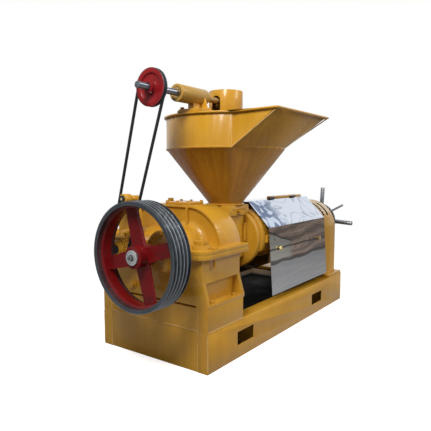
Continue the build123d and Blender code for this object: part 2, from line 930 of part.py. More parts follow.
def idler_roller():
    """The roller that steadies the belt."""
    y, z = idler_centre()
    roller = rod_x(x_idler, x_idler + idler_width, y, z, idler_radius)
    return roller - rod_x(x_idler, x_idler + idler_width, y, z, idler_bore)


def idler_bracket():
    """The idler's pin with its washer, and the cast plate that stands on the layshaft boss."""
    y, z = idler_centre()
    x_plate = x_base - idler_plate
    low = shaft_height + lay_boss_radius / 2
    foot = Polygon((idler_plate_low, low), (idler_plate_high, low),
                   (idler_plate_high, shaft_height + idler_plate_top),
                   (idler_plate_low, shaft_height + idler_plate_top), align=None)
    top = Pos(y, z) * Circle(idler_boss)
    plate = make_hull(foot.edges() + top.edges()) - Pos(lay_y, shaft_height) * Circle(lay_boss_radius)
    bracket = prism_x(plate, x_plate, x_base)
    bracket += rod_x(x_idler - 4, x_plate, y, z, idler_bore - running)
    bracket += rod_x(x_idler - 9, x_idler - 1, y, z, 20)
    bracket += rod_x(x_idler + idler_width + 1, x_plate, y, z, idler_boss)
    return bracket


def bull_gear():
    """The big gear on the press screw, recessed on its face for the input spigot."""
    x1 = x_second_gear + second_face
    wheel = gear(second_module, second_gear_teeth, x_second_gear, x1, main_y, shaft_height,
                 pi / second_gear_teeth)
    wheel -= rod_x(x_second_gear, x_second_gear + 28, main_y, shaft_height, 24 + bearing_fit)
    wheel -= rod_x(x_second_gear + 28, x1, main_y, shaft_height, screw_shaft_radius)
    return wheel


x_screw_start = x_box + 22
x_screw_end = x_frame - 2 * flight_thick


def helix_flight(pitch, length, inner, outer, thick):
    """A helical flight about Z from z = 0 upwards."""
    path = Helix(pitch, length, inner)
    middle = (inner + outer) / 2
    section = Plane(origin=(middle, 0, 0), x_dir=(1, 0, 0), z_dir=(0, 1, 0)) \
        * Rectangle(outer - inner, thick)
    return sweep(section, path=path, is_frenet=True)


def main_screw():
    """The press screw: stepped shaft, a core that thickens along the cage and a helical flight."""
    y, z = main_y, shaft_height
    core = turned_x([(x_second_gear + 28, 0), (x_second_gear + 28, screw_shaft_radius),
                     (x_screw_start, screw_shaft_radius), (x_screw_start, screw_core_start),
                     (x_screw_end + 30, screw_core_end), (x_frame + 20, screw_core_end),
                     (x_frame + 20, 0)], y, z)
    flight = helix_flight(flight_pitch, x_screw_end - x_screw_start - flight_thick,
                          screw_core_start - 6, flight_radius, flight_thick)
    flight = Pos(x_screw_start + flight_thick, y, z) * Rot(0, 90, 0) * flight
    return core + flight


def feed_box():
    """The box under the neck that drops the seed on to the screw."""
    y0, y1 = main_y - box_half, main_y + box_half
    top = neck_height - neck_thick
    box = block(x_box, x_flange, y0, y1, box_floor, top)
    box -= rod_x(x_screw_start - 4, x_flange, main_y, shaft_height, bar_inner)
    box -= rod_x(x_box, x_screw_start, main_y, shaft_height, screw_shaft_radius + running)
    box -= block(x_hopper - duct / 2, x_hopper + duct / 2, main_y - duct / 2, main_y + duct / 2,
                 shaft_height, top)
    return box


gate_z = neck_height - 36
gate_half = duct / 2 + 6


def neck_block():
    """The square block between feed box and hopper, slotted for the gate."""
    x1 = x_flange + neck_overhang
    z0 = neck_height - neck_thick
    neck = block(x_box, x1, main_y - neck_half, main_y + neck_half, z0, neck_height)
    neck -= block(x_hopper - duct / 2, x_hopper + duct / 2, main_y - duct / 2, main_y + duct / 2,
                  z0, neck_height)
    neck -= block(x_hopper - gate_half - running, x_hopper + gate_half + running,
                  main_y - neck_half, main_y + gate_half + running,
                  gate_z - running, gate_z + gate_thick + running)
    neck -= rod_x(x_flange, x1, main_y, shaft_height, feed_flange_radius)
    return neck


def feed_gate():
    """The sliding plate that shuts the seed off, with its pull lug."""
    y0 = main_y - neck_half
    gate = block(x_hopper - gate_half, x_hopper + gate_half, y0, main_y + gate_half,
                 gate_z, gate_z + gate_thick)
    gate += block(x_hopper - 22, x_hopper + 22, y0 - 24, y0, gate_z, gate_z + gate_thick)
    gate += block(x_hopper - 22, x_hopper + 22, y0 - 24, y0 - 16, gate_z - 16, gate_z)
    return gate


def feed_flange():
    """The round flange that joins feed box and cage, with a rib on its face."""
    disc = rod_x(x_flange, x_ring, main_y, shaft_height, feed_flange_radius)
    disc = fillet(disc.edges().filter_by(GeomType.CIRCLE), 8)
    disc -= rod_x(x_flange, x_ring, main_y, shaft_height, bar_inner)
    y0 = main_y - box_half - 22
    disc += block(x_flange - 16, x_flange + 2, y0, y0 + 18, shaft_height - 13, shaft_height + 108)
    return disc


def cage_end_ring():
    """The ring that locates the cage, with a skirt over its first rib, cut flat below."""
    x_skirt = x_cage + cage_skirt_length
    reach = cage_ring_radius + 10
    slot = cage_flange_thick + 2
    ring = rod_x(x_ring, x_skirt, main_y, shaft_height, cage_ring_radius)
    ring -= rod_x(x_cage, x_skirt, main_y, shaft_height, cage_ring_radius - cage_skirt_thick)
    ring -= rod_x(x_ring, x_cage, main_y, shaft_height, bar_inner)
    ring -= block(x_cage, x_skirt, main_y - reach, main_y + reach, shaft_height - slot,
                  shaft_height + slot)
    ring -= block(x_ring, x_skirt, main_y - reach, main_y + reach, shaft_height - reach,
                  cage_ring_floor)
    return ring


def rib_starts():
    """Where each cage rib starts along X."""
    step = (cage_length - rib_width) / (rib_count - 1)
    return [x_cage + step * i for i in range(rib_count)]


def cage_half(up):
    """One half of the cage: ribs round the bars and a bolting flange along each side."""
    z0 = shaft_height
    z1 = z0 + up * cage_flange_thick
    half = None
    for x0 in rib_starts():
        rib = rod_x(x0, x0 + rib_width, main_y, z0, rib_radius)
        half = rib if half is None else half + rib
    for side in (-1, 1):
        half += block(x_cage, x_frame, main_y + side * (cage_bore - 2),
                      main_y + side * cage_flange_half, z0, z1)
    half -= rod_x(x_cage, x_frame, main_y, z0, cage_bore)
    return upper_half(half) if up > 0 else lower_half(half)


def cage_bars():
    """The bars that line the cage, with the gaps that let the oil out."""
    half = pi / bar_count
    points = []
    for radius, side in ((bar_inner, -1), (cage_bore, -1), (cage_bore, 1), (bar_inner, 1)):
        a = side * (half - bar_gap / 2 / radius)
        points.append((radius * cos(a), radius * sin(a)))
    bar = Polygon(*points, align=None)
    bars = []
    for i in range(bar_count):
        turned = Pos(main_y, shaft_height) * Rot(0, 0, degrees(half) * (2 * i + 1)) * bar
        bars.append(prism_x(turned, x_cage, x_frame))
    return Compound(children=bars)


def cage_bolt_places():
    """Centres of the bolts along both cage flanges, between the ribs."""
    y = (rib_radius + cage_flange_half) / 2 + 4
    starts = rib_starts()
    xs = [(a + b + rib_width) / 2 for a, b in zip(starts, starts[1:])]
    return [(x, main_y + side * y) for x in xs for side in (-1, 1)]


def cage_bolts():
    """Hexagon heads above and nuts below the cage flanges."""
    pieces = []
    top = shaft_height + cage_flange_thick
    low = shaft_height - cage_flange_thick
    for x, y in cage_bolt_places():
        pieces.append(hexagon_z(x, y, top, top + 16, 18))
        pieces.append(hexagon_z(x, y, low - 18, low, 18))
    return Compound(children=pieces)


def chute_points(inset):
    """Mouth corners and the arc of the drum's lower edge, as points of the chute."""
    y_mouth = main_y - mouth_reach + inset
    half = mouth_width / 2 - inset
    shift = 6
    corners = [(x_hopper + shift - half, y_mouth), (x_hopper + shift + half, y_mouth)]
    radius = drum_radius - hopper_wall - 1
    arc = []
    for i in range(9):
        a = radians(-90 - chute_angle + chute_angle * 2 * i / 8)
        arc.append((x_hopper + radius * cos(a), main_y + radius * sin(a)))
    return corners, arc


def chute_solid(inset, lift, top):
    """The chute as a closed body: upright sides, a fan from each corner and a flat between."""
    (left, right), arc = chute_points(inset)
    low = [(x, y, drum_bottom + lift) for x, y in arc]
    a0, b0 = (left[0], left[1], rim_height), (right[0], right[1], rim_height)
    rim = [(x, y, top) for x, y in arc]
    a1, b1 = (left[0], left[1], top), (right[0], right[1], top)
    middle = len(low) // 2
    faces = []
    for i in range(middle):
        faces.append([a0, low[i], low[i + 1]])
        faces.append([b0, low[-1 - i], low[-2 - i]])
    faces.append([a0, low[middle], b0])
    for i in range(len(low) - 1):
        faces.append([low[i], rim[i], rim[i + 1], low[i + 1]])
    if top > rim_height:
        faces.append([a0, a1, rim[0], low[0]])
        faces.append([b0, low[-1], rim[-1], b1])
        faces.append([a0, b0, b1, a1])
    else:
        faces.append([a0, rim[0], low[0]])
        faces.append([b0, low[-1], rim[-1]])
    faces.append([a1] + rim + [b1])
    sheets = [Face(Wire.make_polygon([Vector(*p) for p in face])) for face in faces]
    return Solid(Shell(sheets))


def hopper():
    """Drum, cone and side chute of thin sheet, open at the top and at the throat."""
    t = hopper_wall
    outer = [(0, throat_height), (throat_radius, throat_height), (drum_radius, drum_bottom),
             (drum_radius, rim_height), (0, rim_height)]
    inner = [(0, throat_height), (throat_radius - t, throat_height), (drum_radius - t, drum_bottom),
             (drum_radius - t, rim_height), (0, rim_height)]
    shell = turned_z(outer, x_hopper, main_y) + chute_solid(0, 0, rim_height)
    shell -= turned_z(inner, x_hopper, main_y)
    shell -= chute_solid(2 * t, 1.5 * t, rim_height + 1)
    bead = [(drum_radius - 2, drum_bottom - 8), (drum_radius + 4, drum_bottom - 4),
            (drum_radius + 4, drum_bottom + 4), (drum_radius - 2, drum_bottom + 8)]
    behind = turned_z(bead, x_hopper, main_y)
    a = radians(90 - chute_angle)
    y_cut = main_y - drum_radius * sin(a)
    behind -= block(x_hopper - 500, x_hopper + 500, y_cut, main_y - 500, drum_bottom - 20,
                    drum_bottom + 20)
    shell += behind
    collar = turned_z([(throat_radius - t, neck_height), (throat_radius + 12, neck_height),
                       (throat_radius + 12, neck_height + 8), (throat_radius, neck_height + 8),
                       (throat_radius, throat_height + 2), (throat_radius - t, throat_height + 2)],
                      x_hopper, main_y)
    return shell + collar


def hopper_plan(grow):
    """The hopper seen from above, drum and chute together, grown by a lip."""
    (left, right), arc = chute_points(0)
    edge = drum_radius / (drum_radius - hopper_wall - 1)
    first = (x_hopper + (arc[0][0] - x_hopper) * edge, main_y + (arc[0][1] - main_y) * edge)
    last = (x_hopper + (arc[-1][0] - x_hopper) * edge, main_y + (arc[-1][1] - main_y) * edge)
    chute = Polygon(first, left, right, last, (x_hopper, main_y), align=None)
    plan = Pos(x_hopper, main_y) * Circle(drum_radius) + chute
    if grow:
        return offset(plan, amount=grow, kind=Kind.ARC)
    return plan


def hopper_rim():
    """The flat lip welded round the outside of the hopper's edge."""
    lip = hopper_plan(rim_lip) - hopper_plan(0)
    return Pos(0, 0, rim_height - rim_thick) * extrude(lip, amount=rim_thick)


bridge_top = rim_height + bridge_thick
x_tube = x_base + tube_start
x_tube_end = x_tube + tube_length
saddle_x = x_hopper - drum_radius + 45


def feeder_bridge():
    """The flat bar across the hopper that carries the feeder gear."""
    bar = block(x_hopper - drum_radius - 6, x_hopper + drum_radius + 6, main_y - bridge_width / 2,
                main_y + bridge_width / 2, rim_height, bridge_top)
    disc = rod_z(rim_height, bridge_top, x_hopper, main_y, bevel_case_radius + 14)
    bar += disc
    return bar - rod_z(rim_height, bridge_top, x_hopper, main_y, auger_shaft_radius + running)


def feeder_bearing_tube():
    """The bearing tube of the feeder shaft, with a narrow neck towards the gears."""
    x_neck = x_tube_end + tube_neck
    tube = rod_x(x_tube, x_tube_end, main_y, feeder_height, tube_radius)
    tube += rod_x(x_tube_end, x_neck, main_y, feeder_height, tube_neck_radius)
    tube -= rod_x(x_tube_end, x_neck, main_y, feeder_height, feeder_shaft_radius + running)
    return tube - rod_x(x_tube, x_tube_end, main_y, feeder_height, tube_bore)


def feeder_bushes():
    """The two bushes that the feeder shaft turns in."""
    bushes = []
    for x0 in (x_tube, x_tube_end - bush_length):
        bush = rod_x(x0, x0 + bush_length, main_y, feeder_height, tube_bore)
        bush -= rod_x(x0, x0 + bush_length, main_y, feeder_height, feeder_shaft_radius + bearing_fit)
        bushes.append(bush)
    return Compound(children=bushes)


def feeder_saddle():
    """The base plate, web and gusset that hold the bearing tube."""
    z0 = bridge_top
    z1 = z0 + saddle_plate
    x0 = saddle_x - 45
    x1 = saddle_x + 95
    x_wing = saddle_x + 46
    saddle = block(x0, x1, main_y - saddle_half, main_y + saddle_half, z0, z1)
    saddle += block(saddle_x - 20, saddle_x + 70, main_y - 20, main_y + 20, z1, feeder_height)
    wing = Polygon((main_y - saddle_wing, z1), (main_y + saddle_wing, z1),
                   (main_y + 44, feeder_height), (main_y - 44, feeder_height), align=None)
    saddle += prism_x(wing, x_wing, x_wing + 10)
    return saddle - rod_x(x0, x1, main_y, feeder_height, tube_radius)


def saddle_bolt_places():
    """Centres of the four bolts of the saddle."""
    return [(x, main_y + side * 55) for x in (saddle_x - 30, saddle_x + 82) for side in (-1, 1)]


def saddle_bolts():
    """The bolts that hold the saddle to the bridge."""
    z0 = bridge_top + saddle_plate
    return Compound(children=[hexagon_z(x, y, z0, z0 + 12, 12) for x, y in saddle_bolt_places()])


def bevel_housing():
    """The round cover over the bevel gears, open towards the bearing tube."""
    r = bevel_case_radius
    t = bevel_case_wall
    case = rod_z(bridge_top, bevel_case_top, x_hopper, main_y, r)
    case -= rod_z(bridge_top, bevel_case_top - t, x_hopper, main_y, r - t)
    door = block(x_hopper - r, x_hopper - r / 2, main_y - bevel_door, main_y + bevel_door,
                 bridge_top, feeder_height)
    arch = rod_x(x_hopper - r, x_hopper - r / 2, main_y, feeder_height, bevel_door)
    return case - door - arch


def bevel_wheel(teeth, pitch_radius, face, half_turn):
    """A mitre gear with its axis on Z, apex at the origin and its back at z = -pitch_radius."""
    module = 2 * pitch_radius / teeth
    root = pitch_radius - 1.6 * module
    tip = pitch_radius + 1.2 * module
    quarter = pi / (2 * teeth)
    shifts = ((root, -1, 1.25), (tip, -1, 0.45), (tip, 1, 0.45), (root, 1, 1.25))

    def outline(scale):
        points = []
        for i in range(teeth):
            middle = 2 * pi * i / teeth + (pi / teeth if half_turn else 0)
            for radius, side, share in shifts:
                a = middle + side * quarter * share
                points.append((scale * radius * cos(a), scale * radius * sin(a)))
        return Polygon(*points, align=None)

    small = 1 - face / pitch_radius
    back = Plane(origin=(0, 0, -pitch_radius)) * outline(1)
    front = Plane(origin=(0, 0, -pitch_radius * small)) * outline(small)
    return loft([back, front])


def feeder_shaft():
    """The feeder shaft with its bevel pinion."""
    shaft = rod_x(belt_x - feeder_stub - 13, x_hopper - bevel_radius + 10, main_y, feeder_height,
                  feeder_shaft_radius)
    pinion = Rot(0, 90, 0) * bevel_wheel(bevel_teeth, bevel_radius, bevel_face, True)
    return shaft + Pos(x_hopper, main_y, feeder_height) * pinion


def feed_auger():
    """The upright auger in the throat, driven by its bevel gear."""
    z_low = throat_height + 8
    shaft = rod_z(z_low, feeder_height - bevel_radius + 10, x_hopper, main_y, auger_shaft_radius)
    wheel = Pos(x_hopper, main_y, feeder_height) * bevel_wheel(bevel_teeth, bevel_radius,
                                                                bevel_face, False)
    flight = helix_flight(auger_pitch, auger_length, auger_shaft_radius - 6, auger_radius, 6)
    flight = Pos(x_hopper, main_y, z_low + 10) * flight
    return shaft + wheel + flight


def frame_outline(inset):
    """The arched gable of the thrust frame, drawn in (y, z)."""
    r = frame_radius - inset
    z0 = rail_height + frame_foot
    arch = Pos(main_y, frame_centre) * Circle(r)
    legs = Pos(main_y, (z0 + frame_centre) / 2) * Rectangle(2 * r, frame_centre - z0)
    return arch + legs


def thrust_frame():
    """The hollow arch at the cake end, on its foot plate, with two slots through its shoulder."""
    z0 = rail_height
    frame = prism_x(frame_outline(0), x_frame, x_frame_end)
    frame -= prism_x(frame_outline(frame_shell), x_frame + frame_end_wall,
                     x_frame_end - frame_end_wall)
    foot = block(x_frame - 10, x_frame_end + 10, -base_width / 2, base_width / 2, z0, z0 + frame_foot)
    inner = frame_radius - frame_shell
    foot -= block(x_frame + frame_end_wall, x_frame_end - frame_end_wall, main_y - inner,
                  main_y + inner, z0, z0 + frame_foot)
    frame += foot
    frame -= rod_x(x_frame, x_frame + frame_end_wall, main_y, shaft_height, frame_bore)
    frame -= rod_x(x_frame_end - frame_end_wall, x_frame_end, main_y, shaft_height, nut_radius)
    for x0 in [x_frame + start for start in slot_starts]:
        cut = rod_x(x0, x0 + slot_width, main_y, frame_centre, frame_radius + 1)
        cut -= rod_x(x0, x0 + slot_width, main_y, frame_centre, frame_radius - frame_shell - 2)
        wedge = Polygon((main_y, frame_centre), (main_y - 500, frame_centre + 285),
                        (main_y - 235, frame_centre + 525), align=None)
        frame -= cut & prism_x(wedge, x0, x0 + slot_width)
    return frame


x_nut = x_frame_end - frame_end_wall - nut_length + 26
x_block = x_frame + 50


def thrust_nut():
    """The bronze nut in the end wall, plain in its bore, with a shoulder inside the frame."""
    nut = rod_x(x_nut, x_frame_end, main_y, shaft_height, nut_radius)
    nut += rod_x(x_frame_end - frame_end_wall - 14, x_frame_end - frame_end_wall, main_y,
                 shaft_height, nut_radius + 16)
    return nut - rod_x(x_nut, x_frame_end, main_y, shaft_height, spindle_radius + running)


def thrust_block():
    """The block that the spindle pushes against the cake ring."""
    cone = turned_x([(x_block - 22, 0), (x_block - 22, block_radius - 18), (x_block, block_radius),
                     (x_block + 26, block_radius), (x_block + 26, 0)], main_y, shaft_height)
    return cone


x_hub = x_end + hub_gap - hub_length / 2


def thrust_spindle():
    """The spindle from the thrust block to the hand hub."""
    return rod_x(x_block + 26, x_hub + hub_length, main_y, shaft_height, spindle_radius)


def hand_hub():
    """The turned hub and disc that hold the four handle rods."""
    hub = rod_x(x_hub, x_hub + hub_length, main_y, shaft_height, hub_radius)
    disc = rod_x(x_hub + 4, x_hub + 4 + hub_disc_thick, main_y, shaft_height, hub_disc_radius)
    disc = fillet(disc.edges().filter_by(GeomType.CIRCLE), 5)
    hub += disc
    hub -= rod_x(x_hub, x_hub + hub_length, main_y, shaft_height, spindle_radius)
    for rod in handle_bars():
        hub -= rod
    return hub


def handle_bars():
    """The four rods, as bars out of the hub square to its axis."""
    bars = []
    x = x_end + hub_gap + 8
    for i in range(4):
        a = radians(handle_turn + 90 * i)
        y0, z0 = main_y + 50 * cos(a), shaft_height + 50 * sin(a)
        length = handle_reach - 50
        start = Plane(origin=(x, y0, z0), z_dir=(0, cos(a), sin(a)))
        bars.append(extrude(start * Circle(handle_radius), amount=length))
    return bars


def handle_rods():
    """The four polished rods of the hand hub."""
    return Compound(children=handle_bars())


def lock_nut():
    """The ring nut that locks the spindle, with its thin bar."""
    x0 = x_frame_end + 4
    nut = rod_x(x0, x0 + lock_nut_length, main_y, shaft_height, lock_nut_radius)
    a = radians(lock_bar_angle)
    start = Plane(origin=(x0 + lock_nut_length / 2, main_y + 50 * cos(a), shaft_height + 50 * sin(a)),
                  z_dir=(0, cos(a), sin(a)))
    nut += extrude(start * Circle(lock_bar_radius), amount=lock_bar_reach - 50)
    return nut - rod_x(x0, x0 + lock_nut_length, main_y, shaft_height, spindle_radius + running)


def guard_path():
    """The bends of the near guard panel in (y, z), from ridge to foot."""
    return [(guard_ridge_y, guard_ridge_z), (guard_fold_y, guard_fold_z), (guard_foot_y, guard_foot_z)]


def strip(points, thick):
    """A bent strip in (y, z): a path of straight runs given a thickness on its inner side."""
    back = []
    for i, (y, z) in enumerate(points):
        before = points[max(i - 1, 0)]
        after = points[min(i + 1, len(points) - 1)]
        normals = []
        for p, q in ((before, (y, z)), ((y, z), after)):
            length = hypot(q[0] - p[0], q[1] - p[1])
            if length > 0:
                normals.append((-(q[1] - p[1]) / length, (q[0] - p[0]) / length))
        ny = sum(n[0] for n in normals) / len(normals)
        nz = sum(n[1] for n in normals) / len(normals)
        scale = thick / (ny * ny + nz * nz)
        back.append((y + ny * scale, z + nz * scale))
    return Polygon(*(points + back[::-1]), align=None)


x_guard = x_cage
x_guard_end = x_frame - 2


def guard_door():
    """The bright folded sheet over the near side of the cage."""
    return prism_x(strip(guard_path(), guard_sheet), x_guard, x_guard_end)


def guard_far_sheet():
    """The fixed sheet over the far side and the top of the cage."""
    path = [(guard_ridge_y + 10, guard_ridge_z - 2), (2 * main_y - guard_ridge_y, guard_ridge_z - 2),
            (2 * main_y - guard_fold_y, guard_fold_z),
            (2 * main_y - guard_foot_y, rail_height + guard_far_lift)]
    back = strip(path[::-1], guard_sheet)
    return prism_x(back, x_guard, x_guard_end)


def knob_stations():
    """Where the two hoops and their knobs stand along X."""
    return [x_cage + knob_inset, x_cage + knob_inset + knob_spacing]


def door_y(z):
    """The near panel's outer face below its fold, at a height."""
    share = (guard_fold_z - z) / (guard_fold_z - guard_foot_z)
    return guard_fold_y + share * (guard_foot_y - guard_fold_y)


def guard_hoops():
    """The two bent hoops that stand on the cage flanges inside the guard."""
    gap = guard_sheet + running
    low = knob_height - 18
    far = 2 * main_y
    inner = hoop_thick
    hoops = []
    y_low = door_y(low) + gap
    near = [(guard_ridge_y + 14, guard_ridge_z - 2 - gap), (guard_fold_y + gap + 1, guard_fold_z - 2),
            (y_low, low)]
    mirrored = [(far - y, z) for y, z in near]
    outline = strip(mirrored[::-1] + near, inner)
    for x in knob_stations():
        hoop = prism_x(outline, x - hoop_width / 2, x + hoop_width / 2)
        for side in (-1, 1):
            y0 = main_y + side * cage_flange_half
            y1 = main_y + side * (main_y - y_low - 4)
            hoop += block(x - hoop_width / 2, x + hoop_width / 2, y0, y1, low, low + 8)
            hoop += block(x - hoop_width / 2, x + hoop_width / 2, y0, y0 + side * 8, low, shaft_height)
        hoops.append(hoop)
    return Compound(children=hoops)


def guard_knobs():
    """The two hand nuts that hold the door shut."""
    knobs = []
    y = door_y(knob_height - 10)
    for x in knob_stations():
        knob = rod_y(y - 8, y, x, knob_height, 10)
        knob += Pos(x, y - 8, knob_height) * Rot(90, 0, 0) * extrude(RegularPolygon(15, 6), amount=10)
        knobs.append(knob)
    return Compound(children=knobs)


def guard_rail():
    """The painted bar along the top that the hinges are screwed to."""
    x0 = x_cage + guard_rail_start
    return block(x0, x0 + guard_rail_length, main_y - guard_rail_near, main_y + guard_rail_far,
                 guard_ridge_z - 2, guard_ridge_z + 16)


hinge_stations = (275, 600)


def guard_hinges():
    """The knuckles of the door's two hinges, beside the ridge."""
    hinges = []
    for station in hinge_stations:
        x0 = x_cage + station
        hinges.append(rod_x(x0, x0 + 70, guard_ridge_y, guard_ridge_z + hinge_radius + running,
                            hinge_radius))
    return Compound(children=hinges)


sub_parts = {
    "base_rail_near": base_rail(-1),
    "base_rail_far": base_rail(1),
    "cross_members": cross_members(),
    "oil_tray": oil_tray(),
    "gearbox_riser": gearbox_riser(),
    "gearbox_lower_housing": gearbox_lower_housing(),
    "gearbox_upper_housing": gearbox_upper_housing(),
    "inspection_cover": inspection_cover(),
    "breather_plug": breather_plug(),
    "drain_plug": drain_plug(),
    "input_bearing_cover": input_bearing_cover(),
    "layshaft_bearing_cover": layshaft_bearing_cover(),
    "screw_bearing_cover": screw_bearing_cover(),
    "shaft_bearings": shaft_bearings(),
    "joint_bolts": joint_bolts(),
    "foot_bolts": foot_bolts(),
    "cover_bolts": cover_bolts(),
    "input_shaft": input_shaft(),
    "main_pulley": main_pulley(),
    "pulley_end_cap": pulley_end_cap(),
    "layshaft": layshaft(),
    "feeder_drive_pulley": feeder_drive_pulley(),
    "feeder_pulley": feeder_pulley(),
    "feeder_belt": feeder_belt(),
    "idler_roller": idler_roller(),
    "idler_bracket": idler_bracket(),
    "bull_gear": bull_gear(),
    "main_screw": main_screw(),
    "feed_box": feed_box(),
    "neck_block": neck_block(),
    "feed_gate": feed_gate(),
    "feed_flange": feed_flange(),
    "cage_end_ring": cage_end_ring(),
    "cage_upper": cage_half(1),
    "cage_lower": cage_half(-1),
    "cage_bars": cage_bars(),
    "cage_bolts": cage_bolts(),
    "hopper": hopper(),
    "hopper_rim": hopper_rim(),
    "feeder_bridge": feeder_bridge(),
    "feeder_bearing_tube": feeder_bearing_tube(),
    "feeder_bushes": feeder_bushes(),
    "feeder_saddle": feeder_saddle(),
    "saddle_bolts": saddle_bolts(),
    "bevel_housing": bevel_housing(),
    "feeder_shaft": feeder_shaft(),
    "feed_auger": feed_auger(),
    "thrust_frame": thrust_frame(),
    "thrust_nut": thrust_nut(),
    "thrust_block": thrust_block(),
    "thrust_spindle": thrust_spindle(),
    "hand_hub": hand_hub(),
    "handle_rods": handle_rods(),
    "lock_nut": lock_nut(),
    "guard_door": guard_door(),
    "guard_far_sheet": guard_far_sheet(),
    "guard_hoops": guard_hoops(),
    "guard_knobs": guard_knobs(),
    "guard_rail": guard_rail(),
    "guard_hinges": guard_hinges(),
}

for name, shape in sub_parts.items():
    export_step(shape, f"parts/{name}.step")
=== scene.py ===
# %% [markdown]
# # A screw oil press, dressed around its imported model
#
# The press is a painted machine: castings and welded sheet in golden yellow, dark red pulleys with bare
# machined rims, black belt, and a bright steel guard over the cage. Its solids are already right, so most
# of this file gives them edges, fasteners, welds and finishes. First the packed model is loaded as a fixed
# frame. Nothing here may outgrow it.

# %% Load the frame
import json
import math

import bmesh
import bpy
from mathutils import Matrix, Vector


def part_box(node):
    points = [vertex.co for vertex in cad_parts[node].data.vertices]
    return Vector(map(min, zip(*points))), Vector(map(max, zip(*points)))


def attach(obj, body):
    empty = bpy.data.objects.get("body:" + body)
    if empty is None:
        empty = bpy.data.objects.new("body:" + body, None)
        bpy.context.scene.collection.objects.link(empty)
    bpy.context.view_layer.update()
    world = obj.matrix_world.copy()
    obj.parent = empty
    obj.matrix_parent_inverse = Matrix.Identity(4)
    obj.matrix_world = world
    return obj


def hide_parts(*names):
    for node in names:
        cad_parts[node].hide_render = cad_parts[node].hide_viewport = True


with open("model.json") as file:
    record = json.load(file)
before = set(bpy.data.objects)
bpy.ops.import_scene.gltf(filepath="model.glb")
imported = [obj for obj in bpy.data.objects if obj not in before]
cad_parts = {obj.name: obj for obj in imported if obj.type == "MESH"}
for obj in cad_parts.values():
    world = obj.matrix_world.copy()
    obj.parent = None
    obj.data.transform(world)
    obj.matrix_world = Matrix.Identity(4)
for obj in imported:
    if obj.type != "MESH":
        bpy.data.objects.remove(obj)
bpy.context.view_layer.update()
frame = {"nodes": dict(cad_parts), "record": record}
scene = bpy.context.scene
nodes = frame["nodes"]
body_of_node = {n: b for b, members in frame["record"]["behaviour"]["bodies"].items() for n in members}
slot_of_node = {s["node"]: s["material_slot"] for s in frame["record"]["subparts"]}

# %% [markdown]
# ## Camera
#
# The photograph was taken from the pulley end, a little above the middle of the machine. The
# place, direction and lens below were solved from straight edges of the base, so the render can be
# laid over the photograph.

# %% Camera
CAMERA_PLACE = Vector((-2.782, -1.809, 1.060))
CAMERA_AIM = Vector((0.8040, 0.5871, -0.0941))
LENS = 38.83
SENSOR = 36.0

camera = bpy.data.cameras.new("camera")
camera.lens = LENS
camera.sensor_width = SENSOR
camera_object = bpy.data.objects.new("camera", camera)
camera_object.location = CAMERA_PLACE
camera_object.rotation_euler = CAMERA_AIM.to_track_quat("-Z", "Y").to_euler()
scene.collection.objects.link(camera_object)
scene.camera = camera_object
scene.view_settings.view_transform = "Standard"
print("camera", [round(v, 3) for v in CAMERA_PLACE], "lens", LENS)

# %% [markdown]
# ## Shader arithmetic
#
# A finish is easier to read as a formula than as a list of links. `Signal` wraps one output of a
# node, and its operators add Math nodes, so `1 - mask * 0.5` builds itself.

# %% Signals
class Signal:
    """One number output of a node, ready for Python arithmetic."""

    def __init__(self, finish, socket):
        self.finish = finish
        self.socket = socket

    def math(self, operation, *values):
        inputs = {i: v for i, v in enumerate(values)}
        return self.finish.node("ShaderNodeMath", {"operation": operation}, inputs)

    def __add__(self, other):
        return self.math("ADD", self, other)

    def __sub__(self, other):
        return self.math("SUBTRACT", self, other)

    def __mul__(self, other):
        return self.math("MULTIPLY", self, other)

    def __rsub__(self, other):
        return self.math("SUBTRACT", other, self)

    def __pow__(self, other):
        return self.math("POWER", self, other)

    def __gt__(self, other):
        return self.math("GREATER_THAN", self, other)

    def __lt__(self, other):
        return self.math("LESS_THAN", self, other)

    __radd__ = __add__
    __rmul__ = __mul__

    def limited(self):
        return self.math("MINIMUM", self.math("MAXIMUM", self, 0.0), 1.0)

    def sine(self):
        return self.math("SINE", self)

    def step(self, low, high):
        """0 below low, 1 above high and smooth between."""
        return self.finish.node("ShaderNodeMapRange", {"interpolation_type": "SMOOTHSTEP"},
                                {"Value": self, "From Min": low, "From Max": high})


print("signals add", Signal.__add__.__name__, "and other Math nodes")

# %% [markdown]
# `Finish` holds a material and adds every other node by one method, `node`. Colours are mixed by
# Mix nodes, because a Math node would turn them grey. The same class serves the world.

